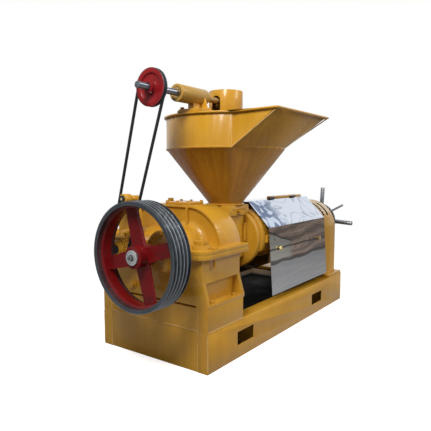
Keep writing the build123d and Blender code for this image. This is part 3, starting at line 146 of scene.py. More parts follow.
# %% Finishes
class Finish:
    """A material being built, with the one method that adds nodes to it."""

    def __init__(self, name, tree=None):
        if tree is None:
            self.material = bpy.data.materials.new(name)
            self.material.use_nodes = True
            tree = self.material.node_tree
            tree.nodes.clear()
        self.tree = tree
        self.place = self.node("ShaderNodeTexCoord", output="Object")

    def node(self, kind, settings=None, inputs=None, output=0):
        made = self.tree.nodes.new(kind)
        for key, value in (settings or {}).items():
            if key == "stops":
                self.set_stops(made.color_ramp, value)
            else:
                setattr(made, key, value)
        for key, value in (inputs or {}).items():
            self.plug(made.inputs[key], value)
        return None if output is None else Signal(self, made.outputs[output])

    def plug(self, socket, value):
        if isinstance(value, Signal):
            self.tree.links.new(value.socket, socket)
        else:
            socket.default_value = value

    def set_stops(self, ramp, stops):
        while len(ramp.elements) > 1:
            ramp.elements.remove(ramp.elements[-1])
        for i, (place, colour) in enumerate(stops):
            element = ramp.elements[0] if i == 0 else ramp.elements.new(place)
            element.position = place
            element.color = (*colour, 1.0)

    def axes(self):
        split = self.tree.nodes.new("ShaderNodeSeparateXYZ")
        self.tree.links.new(self.place.socket, split.inputs[0])
        return [Signal(self, out) for out in split.outputs]

    def stretched(self, scale):
        return self.node("ShaderNodeMapping", {}, {"Vector": self.place, "Scale": scale})

    def noise(self, scale, detail=3.0, roughness=0.5, vector=None, distortion=0.0):
        inputs = {"Vector": vector or self.place, "Scale": scale, "Detail": detail,
                  "Roughness": roughness, "Distortion": distortion}
        return self.node("ShaderNodeTexNoise", {}, inputs, output="Fac")

    def mix(self, factor, first, second):
        inputs = {0: factor, 6: self.colour(first), 7: self.colour(second)}
        return self.node("ShaderNodeMix", {"data_type": "RGBA"}, inputs, output=2)

    def colour(self, value):
        return value if isinstance(value, Signal) else (*value, 1.0)

    def camera_ray(self):
        """1 where the camera looks."""
        return self.node("ShaderNodeLightPath", output="Is Camera Ray")

    def mirror_ray(self):
        """1 where a mirror or a glass looks."""
        rays = [self.node("ShaderNodeLightPath", output=ray)
                for ray in ("Is Glossy Ray", "Is Transmission Ray")]
        return (rays[0] + rays[1]).limited()

    def bump(self, height, depth, normal=None):
        inputs = {"Height": height, "Distance": depth, "Strength": 1.0}
        if normal is not None:
            inputs["Normal"] = normal
        return self.node("ShaderNodeBump", {}, inputs)

    def surface(self, **sockets):
        """A Principled surface; constants stay on its own sockets."""
        names = {"colour": "Base Color", "rough": "Roughness", "metal": "Metallic",
                 "coat": "Coat Weight", "normal": "Normal", "coat_rough": "Coat Roughness",
                 "specular": "Specular IOR Level"}
        inputs = {names[key]: value for key, value in sockets.items()}
        inputs["Base Color"] = self.colour(sockets["colour"])
        return self.node("ShaderNodeBsdfPrincipled", {}, inputs)

    def output(self, shader):
        self.node("ShaderNodeOutputMaterial", {}, {"Surface": shader}, output=None)
        return self.material

    def shade(self, **sockets):
        return self.output(self.surface(**sockets))


print("finishes are Principled surfaces")

# %% [markdown]
# ## Golden paint
#
# The whole machine is brushed and sprayed with one thick yellow gloss. Real paint of this kind is
# never even: it is a little darker where it is thin, carries an orange-peel skin over the rough
# castings, and collects dust near the floor. The same recipe serves castings, rolled steel and
# sheet, with the skin made coarser or finer.

# %% Yellow paint
PAINT_LIGHT = (0.68, 0.375, 0.038)
PAINT_DEEP = (0.47, 0.215, 0.012)
DUST = (0.46, 0.33, 0.16)


def yellow_paint(name, grain, rough, zones=None, coat=0.22):
    """Golden gloss paint; grain is the depth of its skin in metres, zones repaints some places."""
    f = Finish(name)
    x, y, z = f.axes()
    clouds = f.noise(3.5, 4.0, 0.55)
    streaks = f.noise(1.0, 3.0, 0.6, vector=f.stretched((22.0, 22.0, 3.0)))
    colour = f.mix((clouds * 0.8 + streaks * 0.5 - 0.25).limited(), PAINT_DEEP, PAINT_LIGHT)
    dust = f.noise(11.0, 5.0, 0.65).step(0.54, 0.78) * (1.0 - z * 2.2).limited()
    colour = f.mix(dust * 0.45, colour, DUST)
    speck = f.noise(130.0, 2.0, 0.5).step(0.68, 0.76)
    colour = f.mix(speck * 0.40, colour, (0.24, 0.12, 0.03))
    rust = f.noise(26.0, 5.0, 0.7).step(0.66, 0.72)
    colour = f.mix(rust * 0.55, colour, (0.20, 0.075, 0.025))
    if zones:
        colour = zones(f, colour, x, y, z)
    skin = f.noise(260.0, 3.0, 0.6) * 0.5 + f.noise(45.0, 2.0, 0.5)
    normal = f.bump(skin, grain)
    return f.shade(colour=colour, rough=(rough + streaks * 0.12 + dust * 0.25).limited(),
                   coat=coat, coat_rough=0.05, specular=0.20, normal=normal)


cast_paint = yellow_paint("cast_paint", 0.0009, 0.24)
plate_paint = yellow_paint("plate_paint", 0.0004, 0.30)
sheet_paint = yellow_paint("sheet_paint", 0.0002, 0.22)
print("yellow paints made")

# %% [markdown]
# ## Places that differ
#
# Some painted pieces have a place of another colour. It could be cut out as faces with their own
# material, but a small mask in metres, measured from the node's box, also works on a curved wall
# and can have a soft edge. Two helpers come first: the distance from an axis, and a node's middle.

# %% Distances from an axis
def beam(y, z, centre):
    """Distance from an axis along X; centre is (y, z)."""
    dy = y - centre[0]
    dz = z - centre[1]
    return (dy * dy + dz * dz) ** 0.5


def centre_yz(node):
    """The middle of a node's box, as (y, z)."""
    low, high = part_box(node)
    return ((low.y + high.y) / 2, (low.z + high.z) / 2)


main_axis = centre_yz("input_shaft")
feeder_axis = centre_yz("feeder_pulley")
print("main axis", [round(v, 4) for v in main_axis], "feeder axis", [round(v, 4) for v in feeder_axis])

# %% [markdown]
# The cone of the hopper is painted darker and redder from the seam under the drum down: painted shade of
# the down-facing cone and a painted reflection of the dark ground. A noise that is stretched along Z
# streaks it into runs.

# %% Painted shade on the cone
DRUM_HEIGHT = 0.196
HOPPER_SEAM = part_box("hopper")[1].z - DRUM_HEIGHT


def cone_painted_shade(f, colour, x, y, z):
    """Painted shade: darker and redder below the seam of the hopper."""
    below = 1.0 - z.step(HOPPER_SEAM - 0.003, HOPPER_SEAM + 0.003)
    runs = f.noise(1.0, 4.0, 0.6, vector=f.stretched((9.0, 9.0, 1.2))).step(0.35, 0.75)
    return f.mix(below * (0.28 + runs * 0.28), colour, (0.31, 0.095, 0.014))


hopper_paint_painted_shade = yellow_paint("hopper_paint_painted_shade", 0.0002, 0.22, cone_painted_shade, coat=0.12)
print("cone stained below", round(HOPPER_SEAM, 3))

# %% [markdown]
# The frame at the cake end is a hollow arch. Its inside is painted dark as painted shade, which shows
# through its slots, and the near shoulder beside them is painted paler as a painted highlight. Both masks
# use the distance from the arch's axis, because the wall between them is only a few millimetres thick.

# %% Frame with painted shade and highlight
FRAME_LOW, FRAME_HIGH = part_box("thrust_frame")
ARCH_RADIUS = 0.228
SLOT_DEPTH = 0.0035
END_WALL = 0.026
FRAME_AXIS = ((FRAME_LOW.y + FRAME_HIGH.y) / 2 - 0.120, FRAME_HIGH.z - ARCH_RADIUS)


def frame_painted_shade_and_highlight(f, colour, x, y, z):
    """Painted shade in the hollow and a painted highlight on the near shoulder of the frame at the cake
    end.
    """
    radius = beam(y, z, FRAME_AXIS)
    # Painted shade: the inside of the hollow arch is painted near black, and it shows through the slots.
    hollow_painted_shade = (radius < ARCH_RADIUS - SLOT_DEPTH)
    hollow_painted_shade = hollow_painted_shade * (x > FRAME_LOW.x + END_WALL - 0.001) * (x < FRAME_HIGH.x - END_WALL + 0.001)
    near = 1.0 - y.step(-0.24, -0.15)
    # Painted highlight: a pale band on the near shoulder of the arch.
    shoulder_painted_highlight = z.step(0.690, 0.740) * near * (radius > ARCH_RADIUS - 0.002)
    colour = f.mix(shoulder_painted_highlight * 0.62, colour, (0.90, 0.80, 0.62))
    return f.mix(hollow_painted_shade * 0.97, colour, (0.010, 0.008, 0.005))


frame_paint_shade_and_highlight = yellow_paint("frame_paint_shade_and_highlight", 0.0004, 0.30, frame_painted_shade_and_highlight)
print("arch axis", [round(v, 4) for v in FRAME_AXIS])

# %% [markdown]
# On the idler's front, a black disc is painted as the shade in its hole, with a pale screw in its middle.
# Both are small, so two rings of colour on the imported disc show them about as well as two more pieces
# would.

# %% Idler's painted hole shade
IDLER_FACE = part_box("idler_roller")[0].x
SHADED_HOLE_RADIUS = 0.0215
WASHER_SCREW = 0.0075


def idler_painted_hole_shade(f, colour, x, y, z):
    """Painted shade: a black disc for the hole, with a pale screw in its middle."""
    radius = beam(y, z, centre_yz("idler_roller"))
    # Painted shade: the black disc stands for the shaded hole in the idler's front.
    front = (x < IDLER_FACE + 0.001) * (radius < SHADED_HOLE_RADIUS)
    colour = f.mix(front, colour, (0.012, 0.011, 0.010))
    return f.mix(front * (radius < WASHER_SCREW), colour, (0.62, 0.52, 0.30))


idler_paint_painted_shade = yellow_paint("idler_paint_painted_shade", 0.0003, 0.26, idler_painted_hole_shade)
print("washer", SHADED_HOLE_RADIUS * 2000, "mm across")

# %% [markdown]
# The bearing tube of the feeder wears a browner and duller paint than the rest, with painted shade in the
# bore round the shaft. Its tone is mixed over the common recipe, so that its grain stays the same.

# %% Bearing tube
TUBE_LOW, TUBE_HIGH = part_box("feeder_bearing_tube")
TUBE_BORE = 0.0335


def tube_tone(f, colour, x, y, z):
    """A browner paint, with painted shade in the bore at the front."""
    colour = f.mix(0.62, colour, (0.31, 0.205, 0.062))
    bore_painted_shade = (beam(y, z, centre_yz("feeder_bearing_tube")) < TUBE_BORE) * (x < TUBE_LOW.x + 0.02)
    return f.mix(bore_painted_shade * 0.6, colour, (0.10, 0.075, 0.03))


tube_paint = yellow_paint("tube_paint", 0.0003, 0.30, tube_tone, coat=0.10)
print("tube from x", round(TUBE_LOW.x, 3))

# %% [markdown]
# The welds are painted a little paler than the plates, a painted highlight for the light that their round
# beads catch. The rails of the base are open channels, and what shows of their inside through the fork
# pockets is dark with shade. Light from the studio would fill them, so a mask paints that shade on the
# inner faces.

# %% Seams and rails
RAIL_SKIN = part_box("base_rail_far")[1].y - 0.0045
RAIL_FLOOR, RAIL_ROOF = 0.012, 0.212
RAIL_REACH = 0.9


def seam_painted_highlight(f, colour, x, y, z):
    """Painted highlight: weld paint mixed paler, for the light that a round bead catches."""
    return f.mix(0.36, colour, (0.86, 0.64, 0.32))


def rail_painted_shade(f, colour, x, y, z):
    """Painted shade: the hollow of a rail is painted dark, as seen through its fork pockets."""
    # Painted shade on the inner faces of the rail channel.
    inside_painted_shade = (z > RAIL_FLOOR) * (z < RAIL_ROOF) * (y * y < RAIL_SKIN ** 2) * (x * x < RAIL_REACH ** 2)
    return f.mix(inside_painted_shade * 0.95, colour, (0.022, 0.022, 0.016))


seam_paint_painted_highlight = yellow_paint("seam_paint_painted_highlight", 0.0003, 0.26, seam_painted_highlight)
rail_paint_painted_shade = yellow_paint("rail_paint_painted_shade", 0.0004, 0.30, rail_painted_shade)
print("rail skin at y", round(RAIL_SKIN, 4))

# %% [markdown]
# ## Pulley finish
#
# A pulley is a casting painted dark red, then turned on a lathe. So its rim is bare grey steel and
# its web is red. One material does both: it measures the distance from the pulley's own axis and
# changes from paint to metal where the tool began to cut.

# %% Red castings with turned rims
RED_LIGHT = (0.210, 0.006, 0.007)
RED_DEEP = (0.090, 0.003, 0.004)
TURNED = (0.022, 0.026, 0.030)


def pulley_finish(name, centre, turned_from, tip, light=RED_LIGHT):
    """Red paint inside a radius and turned metal out to the tip of the grooves, with a painted highlight
    on the lands at the tips.
    """
    f = Finish(name)
    x, y, z = f.axes()
    radius = beam(y, z, centre)
    bare = radius.step(turned_from - 0.0012, turned_from + 0.0012)
    clouds = f.noise(7.0, 4.0, 0.6)
    red = f.mix(clouds, RED_DEEP, light)
    chips = f.noise(60.0, 4.0, 0.7).step(0.63, 0.67)
    red = f.mix(chips * 0.35, red, (0.09, 0.03, 0.03))
    oil = f.noise(15.0, 5.0, 0.65).step(0.52, 0.70)
    red = f.mix(oil * 0.50, red, (0.045, 0.007, 0.010))
    rings = (radius * 5200.0).sine() * 0.5 + 0.5
    # Painted highlight and shade: the lands at the tips are mixed paler, and the grooves below them stay
    # darker.
    land_painted_highlight = radius.step(tip - 0.0045, tip - 0.0010)
    grey = f.mix((land_painted_highlight * 0.46 + rings * 0.10 + clouds * 0.32).limited(), TURNED, (0.25, 0.275, 0.305))
    stain = f.noise(16.0, 4.0, 0.65).step(0.52, 0.72)
    grey = f.mix(stain * 0.35, grey, (0.030, 0.032, 0.034))
    skin = f.noise(190.0, 3.0, 0.6) * (1.0 - bare) + rings * bare * 0.25
    return f.shade(colour=f.mix(bare, red, grey), metal=bare * 0.85,
                   rough=(0.28 + bare * 0.10 + clouds * 0.10).limited(),
                   coat=(1.0 - bare) * 0.08, coat_rough=0.06, specular=0.12,
                   normal=f.bump(skin, 0.0003))


MAIN_TURNED_FROM, MAIN_TIP = 0.2617, 0.285
FEEDER_TURNED_FROM, FEEDER_TIP = 0.0962, 0.105
FEEDER_RED = (0.31, 0.008, 0.010)
main_pulley_red = pulley_finish("main_pulley_red", main_axis, MAIN_TURNED_FROM, MAIN_TIP)
feeder_pulley_red = pulley_finish("feeder_pulley_red", feeder_axis, FEEDER_TURNED_FROM, FEEDER_TIP,
                                  light=FEEDER_RED)
print("pulleys turned from", MAIN_TURNED_FROM, "and", FEEDER_TURNED_FROM)

# %% [markdown]
# ## Steel, brass and bronze
#
# The bare metals differ in colour and in how they were worked: rods and shafts are turned, so they
# carry fine tool marks along their length. One recipe makes them all; a noise that is stretched
# strongly in one direction stands for the marks, because single grooves are too fine to model.

# %% Bare metals
ALONG_X = (600.0, 60.0, 60.0)


def turned_steel(name, tone, rough, direction=ALONG_X):
    """Bare metal with fine tool marks; direction stretches them along the piece."""
    f = Finish(name)
    marks = f.noise(1.0, 2.0, 0.5, vector=f.stretched(direction))
    cloud = f.noise(14.0, 3.0, 0.6)
    dark = tuple(v * 0.62 for v in tone)
    colour = f.mix(marks * 0.35 + cloud * 0.65, dark, tone)
    return f.shade(colour=colour, metal=1.0, rough=(rough + marks * 0.10 + cloud * 0.08).limited(),
                   normal=f.bump(marks, 0.00008))


bright_steel = turned_steel("bright_steel", (0.27, 0.285, 0.30), 0.24)
black_steel = turned_steel("black_steel", (0.05, 0.05, 0.055), 0.40)
dark_steel = turned_steel("dark_steel", (0.22, 0.22, 0.23), 0.34)
bronze = turned_steel("bronze", (0.55, 0.36, 0.14), 0.30)
brass = turned_steel("brass", (0.74, 0.60, 0.26), 0.20)
print("five metals made")

# %% [markdown]
# The feeder shaft is one solid, but only its front is bare: behind the bearing tube it was painted
# over. So one material changes from steel to paint at a place along X.

# %% Feeder shaft
PAINTED_FROM = TUBE_HIGH.x - 0.045


def feeder_shaft_finish():
    """Bare in front of the bearing tube, painted over behind it."""
    f = Finish("feeder_shaft_steel")
    x, y, z = f.axes()
    painted = x.step(PAINTED_FROM, PAINTED_FROM + 0.002)
    marks = f.noise(1.0, 2.0, 0.5, vector=f.stretched(ALONG_X))
    cloud = f.noise(30.0, 4.0, 0.6)
    steel = f.mix(marks * 0.3 + cloud * 0.6, (0.075, 0.084, 0.098), (0.20, 0.215, 0.24))
    brown = f.mix(cloud, (0.16, 0.09, 0.02), (0.38, 0.22, 0.05))
    return f.shade(colour=f.mix(painted, steel, brown), metal=1.0 - painted,
                   rough=(0.24 + cloud * 0.12 + painted * 0.1).limited(),
                   normal=f.bump(marks, 0.00008))


shaft_steel = feeder_shaft_finish()
print("shaft painted from x", round(PAINTED_FROM, 3))

# %% [markdown]
# The cap of the big pulley is a turned washer. Seen from the front it is a set of rings, so its colour is
# drawn by radius: a pale rim, painted shade for a turned groove, a grey disc and the dark head of a bolt.

# %% End cap
BOLT_HEIGHT = 0.0115


def end_cap_finish(centre):
    """The pulley's washer: a pale rim, painted shade for a turned groove, a grey disc and a dark bolt."""
    f = Finish("end_cap_rings")
    x, y, z = f.axes()
    radius = beam(y, z, centre)
    rings = (radius * 4200.0).sine() * 0.5 + 0.5
    tone = f.mix(rings * 0.4, (0.42, 0.45, 0.46), (0.55, 0.58, 0.58))
    # Painted shade: a dark ring stands for the shade in the turned groove.
    groove_painted_shade = radius.step(0.0275, 0.0285) * (1.0 - radius.step(0.0305, 0.0315))
    tone = f.mix(groove_painted_shade * 0.85, tone, (0.04, 0.045, 0.045))
    tone = f.mix(1.0 - radius.step(0.0180, 0.0200), tone, (0.10, 0.11, 0.11))
    bolt = (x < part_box("pulley_end_cap")[0].x + BOLT_HEIGHT)
    tone = f.mix(bolt, tone, (0.16, 0.165, 0.16))
    tone = f.mix(bolt * (1.0 - radius.step(0.0045, 0.0060)), tone, (0.03, 0.03, 0.03))
    worn = f.noise(90.0, 4.0, 0.6)
    return f.shade(colour=tone, metal=0.8, rough=(0.34 + worn * 0.25).limited(),
                   normal=f.bump(rings + worn, 0.0002))


cap_rings = end_cap_finish(main_axis)
print("end cap ringed")

# %% [markdown]
# ## Belt and oil tray
#
# The belt is matt black rubber in a woven cover. The tray's floor is painted near black as the deep shade
# of the pit, duller and darker in patches; its far and end walls are painted pale peach as painted
# sunlight, with a greyer band at their foot.

# %% Rubber and tray
SUNLIT_BAND_FOOT = 0.020
TRAY_SHEET = 0.006


def rubber():
    """Matt black rubber with a woven cover."""
    f = Finish("belt_rubber")
    weave = f.noise(420.0, 1.0, 0.5)
    worn = f.noise(30.0, 3.0, 0.6)
    colour = f.mix(worn, (0.004, 0.005, 0.006), (0.014, 0.016, 0.018))
    return f.shade(colour=colour, rough=0.60 + weave * 0.15, specular=0.25,
                   normal=f.bump(weave, 0.0003))


def tray_painted_shade_and_sunlight():
    """Near-black floor as painted shade; two walls painted pale as painted sunlight, with a greyer band at
    their foot.
    """
    f = Finish("tray_painted_shade_and_sunlight")
    x, y, z = f.axes()
    low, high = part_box("oil_tray")
    # Painted shade: the floor is near black for the deep shade of the pit.
    wet = f.noise(5.0, 4.0, 0.6).step(0.42, 0.62)
    colour = f.mix(wet, (0.006, 0.006, 0.006), (0.002, 0.002, 0.002))
    # Painted light: the far and end walls are painted pale peach for the sunlight that falls on them.
    walls_painted_sunlight = ((y > high.y - TRAY_SHEET) + (x > high.x - TRAY_SHEET)).limited() * (z > low.z + 0.008)
    grain = f.noise(1.0, 3.0, 0.6, vector=f.stretched((6.0, 6.0, 90.0)))
    above = z.step(low.z + SUNLIT_BAND_FOOT, low.z + SUNLIT_BAND_FOOT + 0.002)
    painted_sunlight = f.mix(above, (0.60, 0.53, 0.44), (1.0, 0.74, 0.50))
    painted_sunlight = f.mix(grain.step(0.55, 0.75) * 0.25, painted_sunlight, (0.35, 0.26, 0.17))
    return f.shade(colour=f.mix(walls_painted_sunlight, colour, painted_sunlight), rough=0.85 - wet * 0.20, specular=0.08,
                   normal=f.bump(f.noise(90.0), 0.0003))


belt_rubber = rubber()
tray_black = tray_painted_shade_and_sunlight()
print("rubber and tray made")

# %% [markdown]
# ## Mirror sheet of the guard
#
# Bright stainless sheet mirrors its surroundings, and because it is thin it bends them into contour lines,
# like a map. A plain studio has nothing to mirror, so the bands are painted reflections in the sheet's own
# colour. The upright panel has painted reflections of wavy brown bands above grey ones, a smooth olive
# patch at one end, and a dark line through its two knobs; the sloping panel is painted pale with thin
# contours.

# %% Upright panel
FOLD_HEIGHT = 0.700
KNOB_HEIGHT = 0.552


def upright_painted_reflections(f, x, z, warp, fine):
    """Painted reflections: brown wavy bands over grey ones, parted by a dark border."""
    height = z + (warp - 0.5) * 0.17 - x * 0.05
    wide = (height * 82.0).sine() * 0.5 + 0.5
    lines = (height * 520.0).sine() * 0.5 + 0.5
    tone = (wide * 0.42 + lines * 0.38 + fine * 0.55 - 0.18).limited()
    brown = f.mix(tone, (0.075, 0.053, 0.047), (0.62, 0.46, 0.37))
    patch_top = 0.664 - (x + 0.19) * 0.26 + (warp - 0.5) * 0.05
    olive = (1.0 - x.step(0.04, 0.14)) * (1.0 - (z - patch_top).step(-0.004, 0.004))
    brown = f.mix(olive * 0.85, brown, f.mix(fine, (0.38, 0.38, 0.35), (0.58, 0.57, 0.52)))
    rim = 1.0 - ((z - patch_top) * (z - patch_top)).step(0.0, 0.00008)
    brown = f.mix(rim * (1.0 - x.step(0.06, 0.16)) * 0.8, brown, (0.05, 0.045, 0.045))
    from_line = z - KNOB_HEIGHT - (warp - 0.5) * 0.05
    knob_line = 1.0 - (from_line * from_line).step(0.0, 0.00010)
    brown = f.mix(knob_line * 0.8, brown, (0.045, 0.042, 0.042))
    ripple = ((z + (warp - 0.5) * 0.22 + fine * 0.01) * 330.0).sine() * 0.5 + 0.5
    grey = f.mix(ripple * 0.12 + fine * 0.8, (0.23, 0.235, 0.245), (0.50, 0.50, 0.51))
    border = z + (warp - 0.5) * 0.07 + (fine - 0.5) * 0.03 + x * 0.012
    panel = f.mix(border.step(0.462, 0.468), grey, brown)
    dark_edge = border.step(0.452, 0.462) * (1.0 - border.step(0.474, 0.486))
    return f.mix(dark_edge * 0.85, panel, (0.050, 0.045, 0.045))


print("upright panel up to", FOLD_HEIGHT)

# %% Sloping panel
def sloping_painted_reflections(f, x):
    """Painted reflections: pale with thin contours, and a blue swirl at the hopper's end."""
    drift = f.noise(1.0, 1.0, 0.5, vector=f.stretched((2.6, 4.0, 4.0)), distortion=1.4)
    contour = ((drift * 46.0).sine() * 0.5 + 0.5).step(0.82, 1.0)
    pale = f.mix(contour * 0.8, (0.66, 0.72, 0.82), (0.36, 0.41, 0.49))
    swirl = f.noise(1.0, 1.5, 0.5, vector=f.stretched((7.0, 7.0, 7.0)), distortion=2.2)
    shade = f.mix(swirl.step(0.50, 0.58), (0.075, 0.125, 0.25), (0.58, 0.66, 0.80))
    near_end = (1.0 - x.step(-0.06, 0.15)) * 0.9
    return f.mix(near_end, pale, shade)


print("sloping panel from", FOLD_HEIGHT)

# %% Stainless sheet
def stainless_painted_reflections():
    """Polished sheet with painted reflections, upright below its fold and sloping above it."""
    f = Finish("stainless_painted_reflections")
    x, y, z = f.axes()
    warp = f.noise(1.0, 2.0, 0.5, vector=f.stretched((2.6, 2.6, 6.5)), distortion=0.5)
    fine = f.noise(1.0, 4.0, 0.65, vector=f.stretched((2.5, 2.5, 70.0)), distortion=0.3)
    slope = z.step(FOLD_HEIGHT - 0.001, FOLD_HEIGHT + 0.001)
    colour = f.mix(slope, upright_painted_reflections(f, x, z, warp, fine), sloping_painted_reflections(f, x))
    return f.shade(colour=colour, metal=0.92, rough=0.10,
                   normal=f.bump(f.noise(2.4, 1.0, 0.4, distortion=0.8), 0.004))


stainless = stainless_painted_reflections()
print("sheet made")

# %% [markdown]
# ## Which node wears which finish
#
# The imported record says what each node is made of. The table below turns its slots into the
# finishes above; castings, plates and thin sheets share a slot but not a skin.

# %% Dress the nodes
BY_SLOT = {"yellow_paint": cast_paint, "red_paint": main_pulley_red, "belt_rubber": belt_rubber,
           "bright_steel": bright_steel, "stainless": stainless, "gear_steel": dark_steel,
           "cage_iron": cast_paint, "bronze": bronze, "brass": brass, "tray_black": tray_black}
BY_NODE = {"feeder_pulley": feeder_pulley_red, "hopper": hopper_paint_painted_shade, "thrust_frame": frame_paint_shade_and_highlight,
           "idler_bracket": idler_paint_painted_shade, "pulley_end_cap": cap_rings,
           "guard_hinges": black_steel, "feeder_shaft": shaft_steel,
           "feeder_bearing_tube": tube_paint}
for name in ("base_rail_near", "base_rail_far"):
    BY_NODE[name] = rail_paint_painted_shade
for name in ("cross_members", "gearbox_riser", "feeder_bridge", "feeder_saddle", "guard_hoops",
             "guard_rail", "joint_bolts", "foot_bolts", "cover_bolts", "saddle_bolts",
             "breather_plug", "drain_plug"):
    BY_NODE[name] = plate_paint
for name in ("hopper_rim", "bevel_housing", "idler_roller"):
    BY_NODE[name] = sheet_paint


def finish_of(node):
    """The finish that a node wears."""
    return BY_NODE.get(node) or BY_SLOT[slot_of_node[node]]


for name, node in nodes.items():
    node.data.materials.clear()
    node.data.materials.append(finish_of(name))
print("dressed", len(nodes), "nodes")

# %% [markdown]
# ## Soft edges
#
# A casting or a plate never has a knife edge, and the thin bright line along a rounded edge is
# what makes a machine look real. Each solid is copied, its loose triangles are merged into clean
# faces, and a bevel rounds what turns by more than 32 degrees. The copy replaces the plain node.

# %% Round the edges
BEVEL_ANGLE = math.radians(32)


def softened(node, width, segments=2):
    """A copy of a node with rounded edges, shown in its place."""
    mesh = nodes[node].data.copy()
    mesh.name = node + "_soft"
    work = bmesh.new()
    work.from_mesh(mesh)
    bmesh.ops.remove_doubles(work, verts=work.verts, dist=0.00002)
    bmesh.ops.dissolve_limit(work, angle_limit=math.radians(1.0), verts=work.verts, edges=work.edges)
    for face in work.faces:
        face.smooth = True
    work.to_mesh(mesh)
    work.free()
    piece = bpy.data.objects.new(node + "_soft", mesh)
    scene.collection.objects.link(piece)
    bevel = piece.modifiers.new("round", "BEVEL")
    bevel.width = width
    bevel.segments = segments
    bevel.limit_method = "ANGLE"
    bevel.angle_limit = BEVEL_ANGLE
    bevel.harden_normals = True
    bevel.use_clamp_overlap = True
    return settle(piece, node)


def settle(piece, node):
    """Rides a finished piece on its node's body, in its place and finish."""
    if not piece.data.materials:
        piece.data.materials.append(finish_of(node))
    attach(piece, body_of_node[node])
    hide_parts(node)
    return piece


EDGE_WIDTHS = {
    "gearbox_lower_housing": 0.0035, "gearbox_upper_housing": 0.0035, "gearbox_riser": 0.002,
    "base_rail_near": 0.003, "base_rail_far": 0.003, "cross_members": 0.0015, "thrust_frame": 0.003,
    "neck_block": 0.003, "feed_box": 0.003, "feed_flange": 0.002, "cage_end_ring": 0.002,
    "inspection_cover": 0.002, "main_pulley": 0.0015, "idler_bracket": 0.002, "feeder_saddle": 0.0015,
    "feeder_bridge": 0.0015, "handle_rods": 0.002, "hand_hub": 0.002, "lock_nut": 0.0015,
    "hopper": 0.0012, "hopper_rim": 0.0045, "bevel_housing": 0.0012, "feeder_bearing_tube": 0.0025,
    "joint_bolts": 0.0015, "feeder_pulley": 0.0015, "feeder_drive_pulley": 0.001,
    "idler_roller": 0.002, "pulley_end_cap": 0.0012, "cage_upper": 0.002, "cage_lower": 0.002,
    "input_bearing_cover": 0.002, "layshaft_bearing_cover": 0.002, "screw_bearing_cover": 0.002,
    "feeder_shaft": 0.002, "guard_hoops": 0.0015, "guard_rail": 0.002,
}
for name, width in EDGE_WIDTHS.items():
    made = softened(name, width)
    print("softened", name, len(made.data.polygons))

# %% [markdown]
# ## Things that repeat, grown by Geometry Nodes
#
# Weld ripples repeat by the hundred, and screws come in sets. A Geometry Nodes tree is a recipe: it
# takes a carrier mesh, such as the line of a seam or a few points, and sets one small shape on each
# place. `Recipe` builds such a tree with named inputs.

# %% Recipes
class Recipe:
    """A Geometry Nodes tree that is built by calls, with named inputs."""

    def __init__(self, name, inputs):
        self.tree = bpy.data.node_groups.new(name, "GeometryNodeTree")
        self.tree.interface.new_socket("Carrier", in_out="INPUT", socket_type="NodeSocketGeometry")
        self.keys = {}
        for label, (kind, value) in inputs.items():
            socket = self.tree.interface.new_socket(label, in_out="INPUT", socket_type=kind)
            if value is not None:
                socket.default_value = value
            self.keys[label] = socket.identifier
        self.tree.interface.new_socket("Shape", in_out="OUTPUT", socket_type="NodeSocketGeometry")
        self.given = self.tree.nodes.new("NodeGroupInput").outputs

    def node(self, kind, settings=None, inputs=None, output=0):
        """Adds a node, sets it, feeds its inputs and returns one output."""
        made = self.tree.nodes.new(kind)
        for key, value in (settings or {}).items():
            setattr(made, key, value)
        for key, value in (inputs or {}).items():
            for one in value if isinstance(value, list) else [value]:
                if isinstance(one, bpy.types.NodeSocket):
                    self.tree.links.new(one, made.inputs[key])
                else:
                    made.inputs[key].default_value = one
        return made.outputs[output]

    def times(self, first, second):
        """The product of two numbers, each a socket or a value."""
        return self.node("ShaderNodeMath", {"operation": "MULTIPLY"}, {0: first, 1: second})

    def close(self, places):
        """Makes the instances real, gives them the finish and ends the tree."""
        real = self.node("GeometryNodeRealizeInstances", {}, {0: places})
        done = self.node("GeometryNodeSetMaterial", {},
                         {"Geometry": real, "Material": self.given["Finish"]})
        result = self.tree.nodes.new("NodeGroupOutput")
        self.tree.links.new(done, result.inputs[0])


print("recipes end in Realize Instances and Set Material")

# %% [markdown]
# To use a recipe, its tree is put on the carrier as a modifier, the inputs are set by their
# identifiers, and the evaluated result is copied into a plain mesh. The modifier goes again, so that
# the piece moves, exports and prints like any other.

# %% Run a recipe
def grown(name, recipe, carrier, values):
    """Runs a recipe on a carrier mesh; the result is a plain mesh object."""
    holder = bpy.data.objects.new(name, carrier)
    scene.collection.objects.link(holder)
    modifier = holder.modifiers.new("grow", "NODES")
    modifier.node_group = recipe.tree
    for label, value in values.items():
        modifier[recipe.keys[label]] = value
    graph = bpy.context.evaluated_depsgraph_get()
    mesh = bpy.data.meshes.new_from_object(holder.evaluated_get(graph), depsgraph=graph)
    holder.modifiers.remove(modifier)
    holder.data = mesh
    print("grown", name, len(mesh.polygons), "faces")
    return holder


print("recipes can run")

# %% [markdown]
# ## A recipe for weld ripples
#
# A hand weld is a row of small frozen puddles. They could be sculpted, but a ball on every few
# millimetres of the seam, each a little larger or smaller, reads the same and needs few faces.

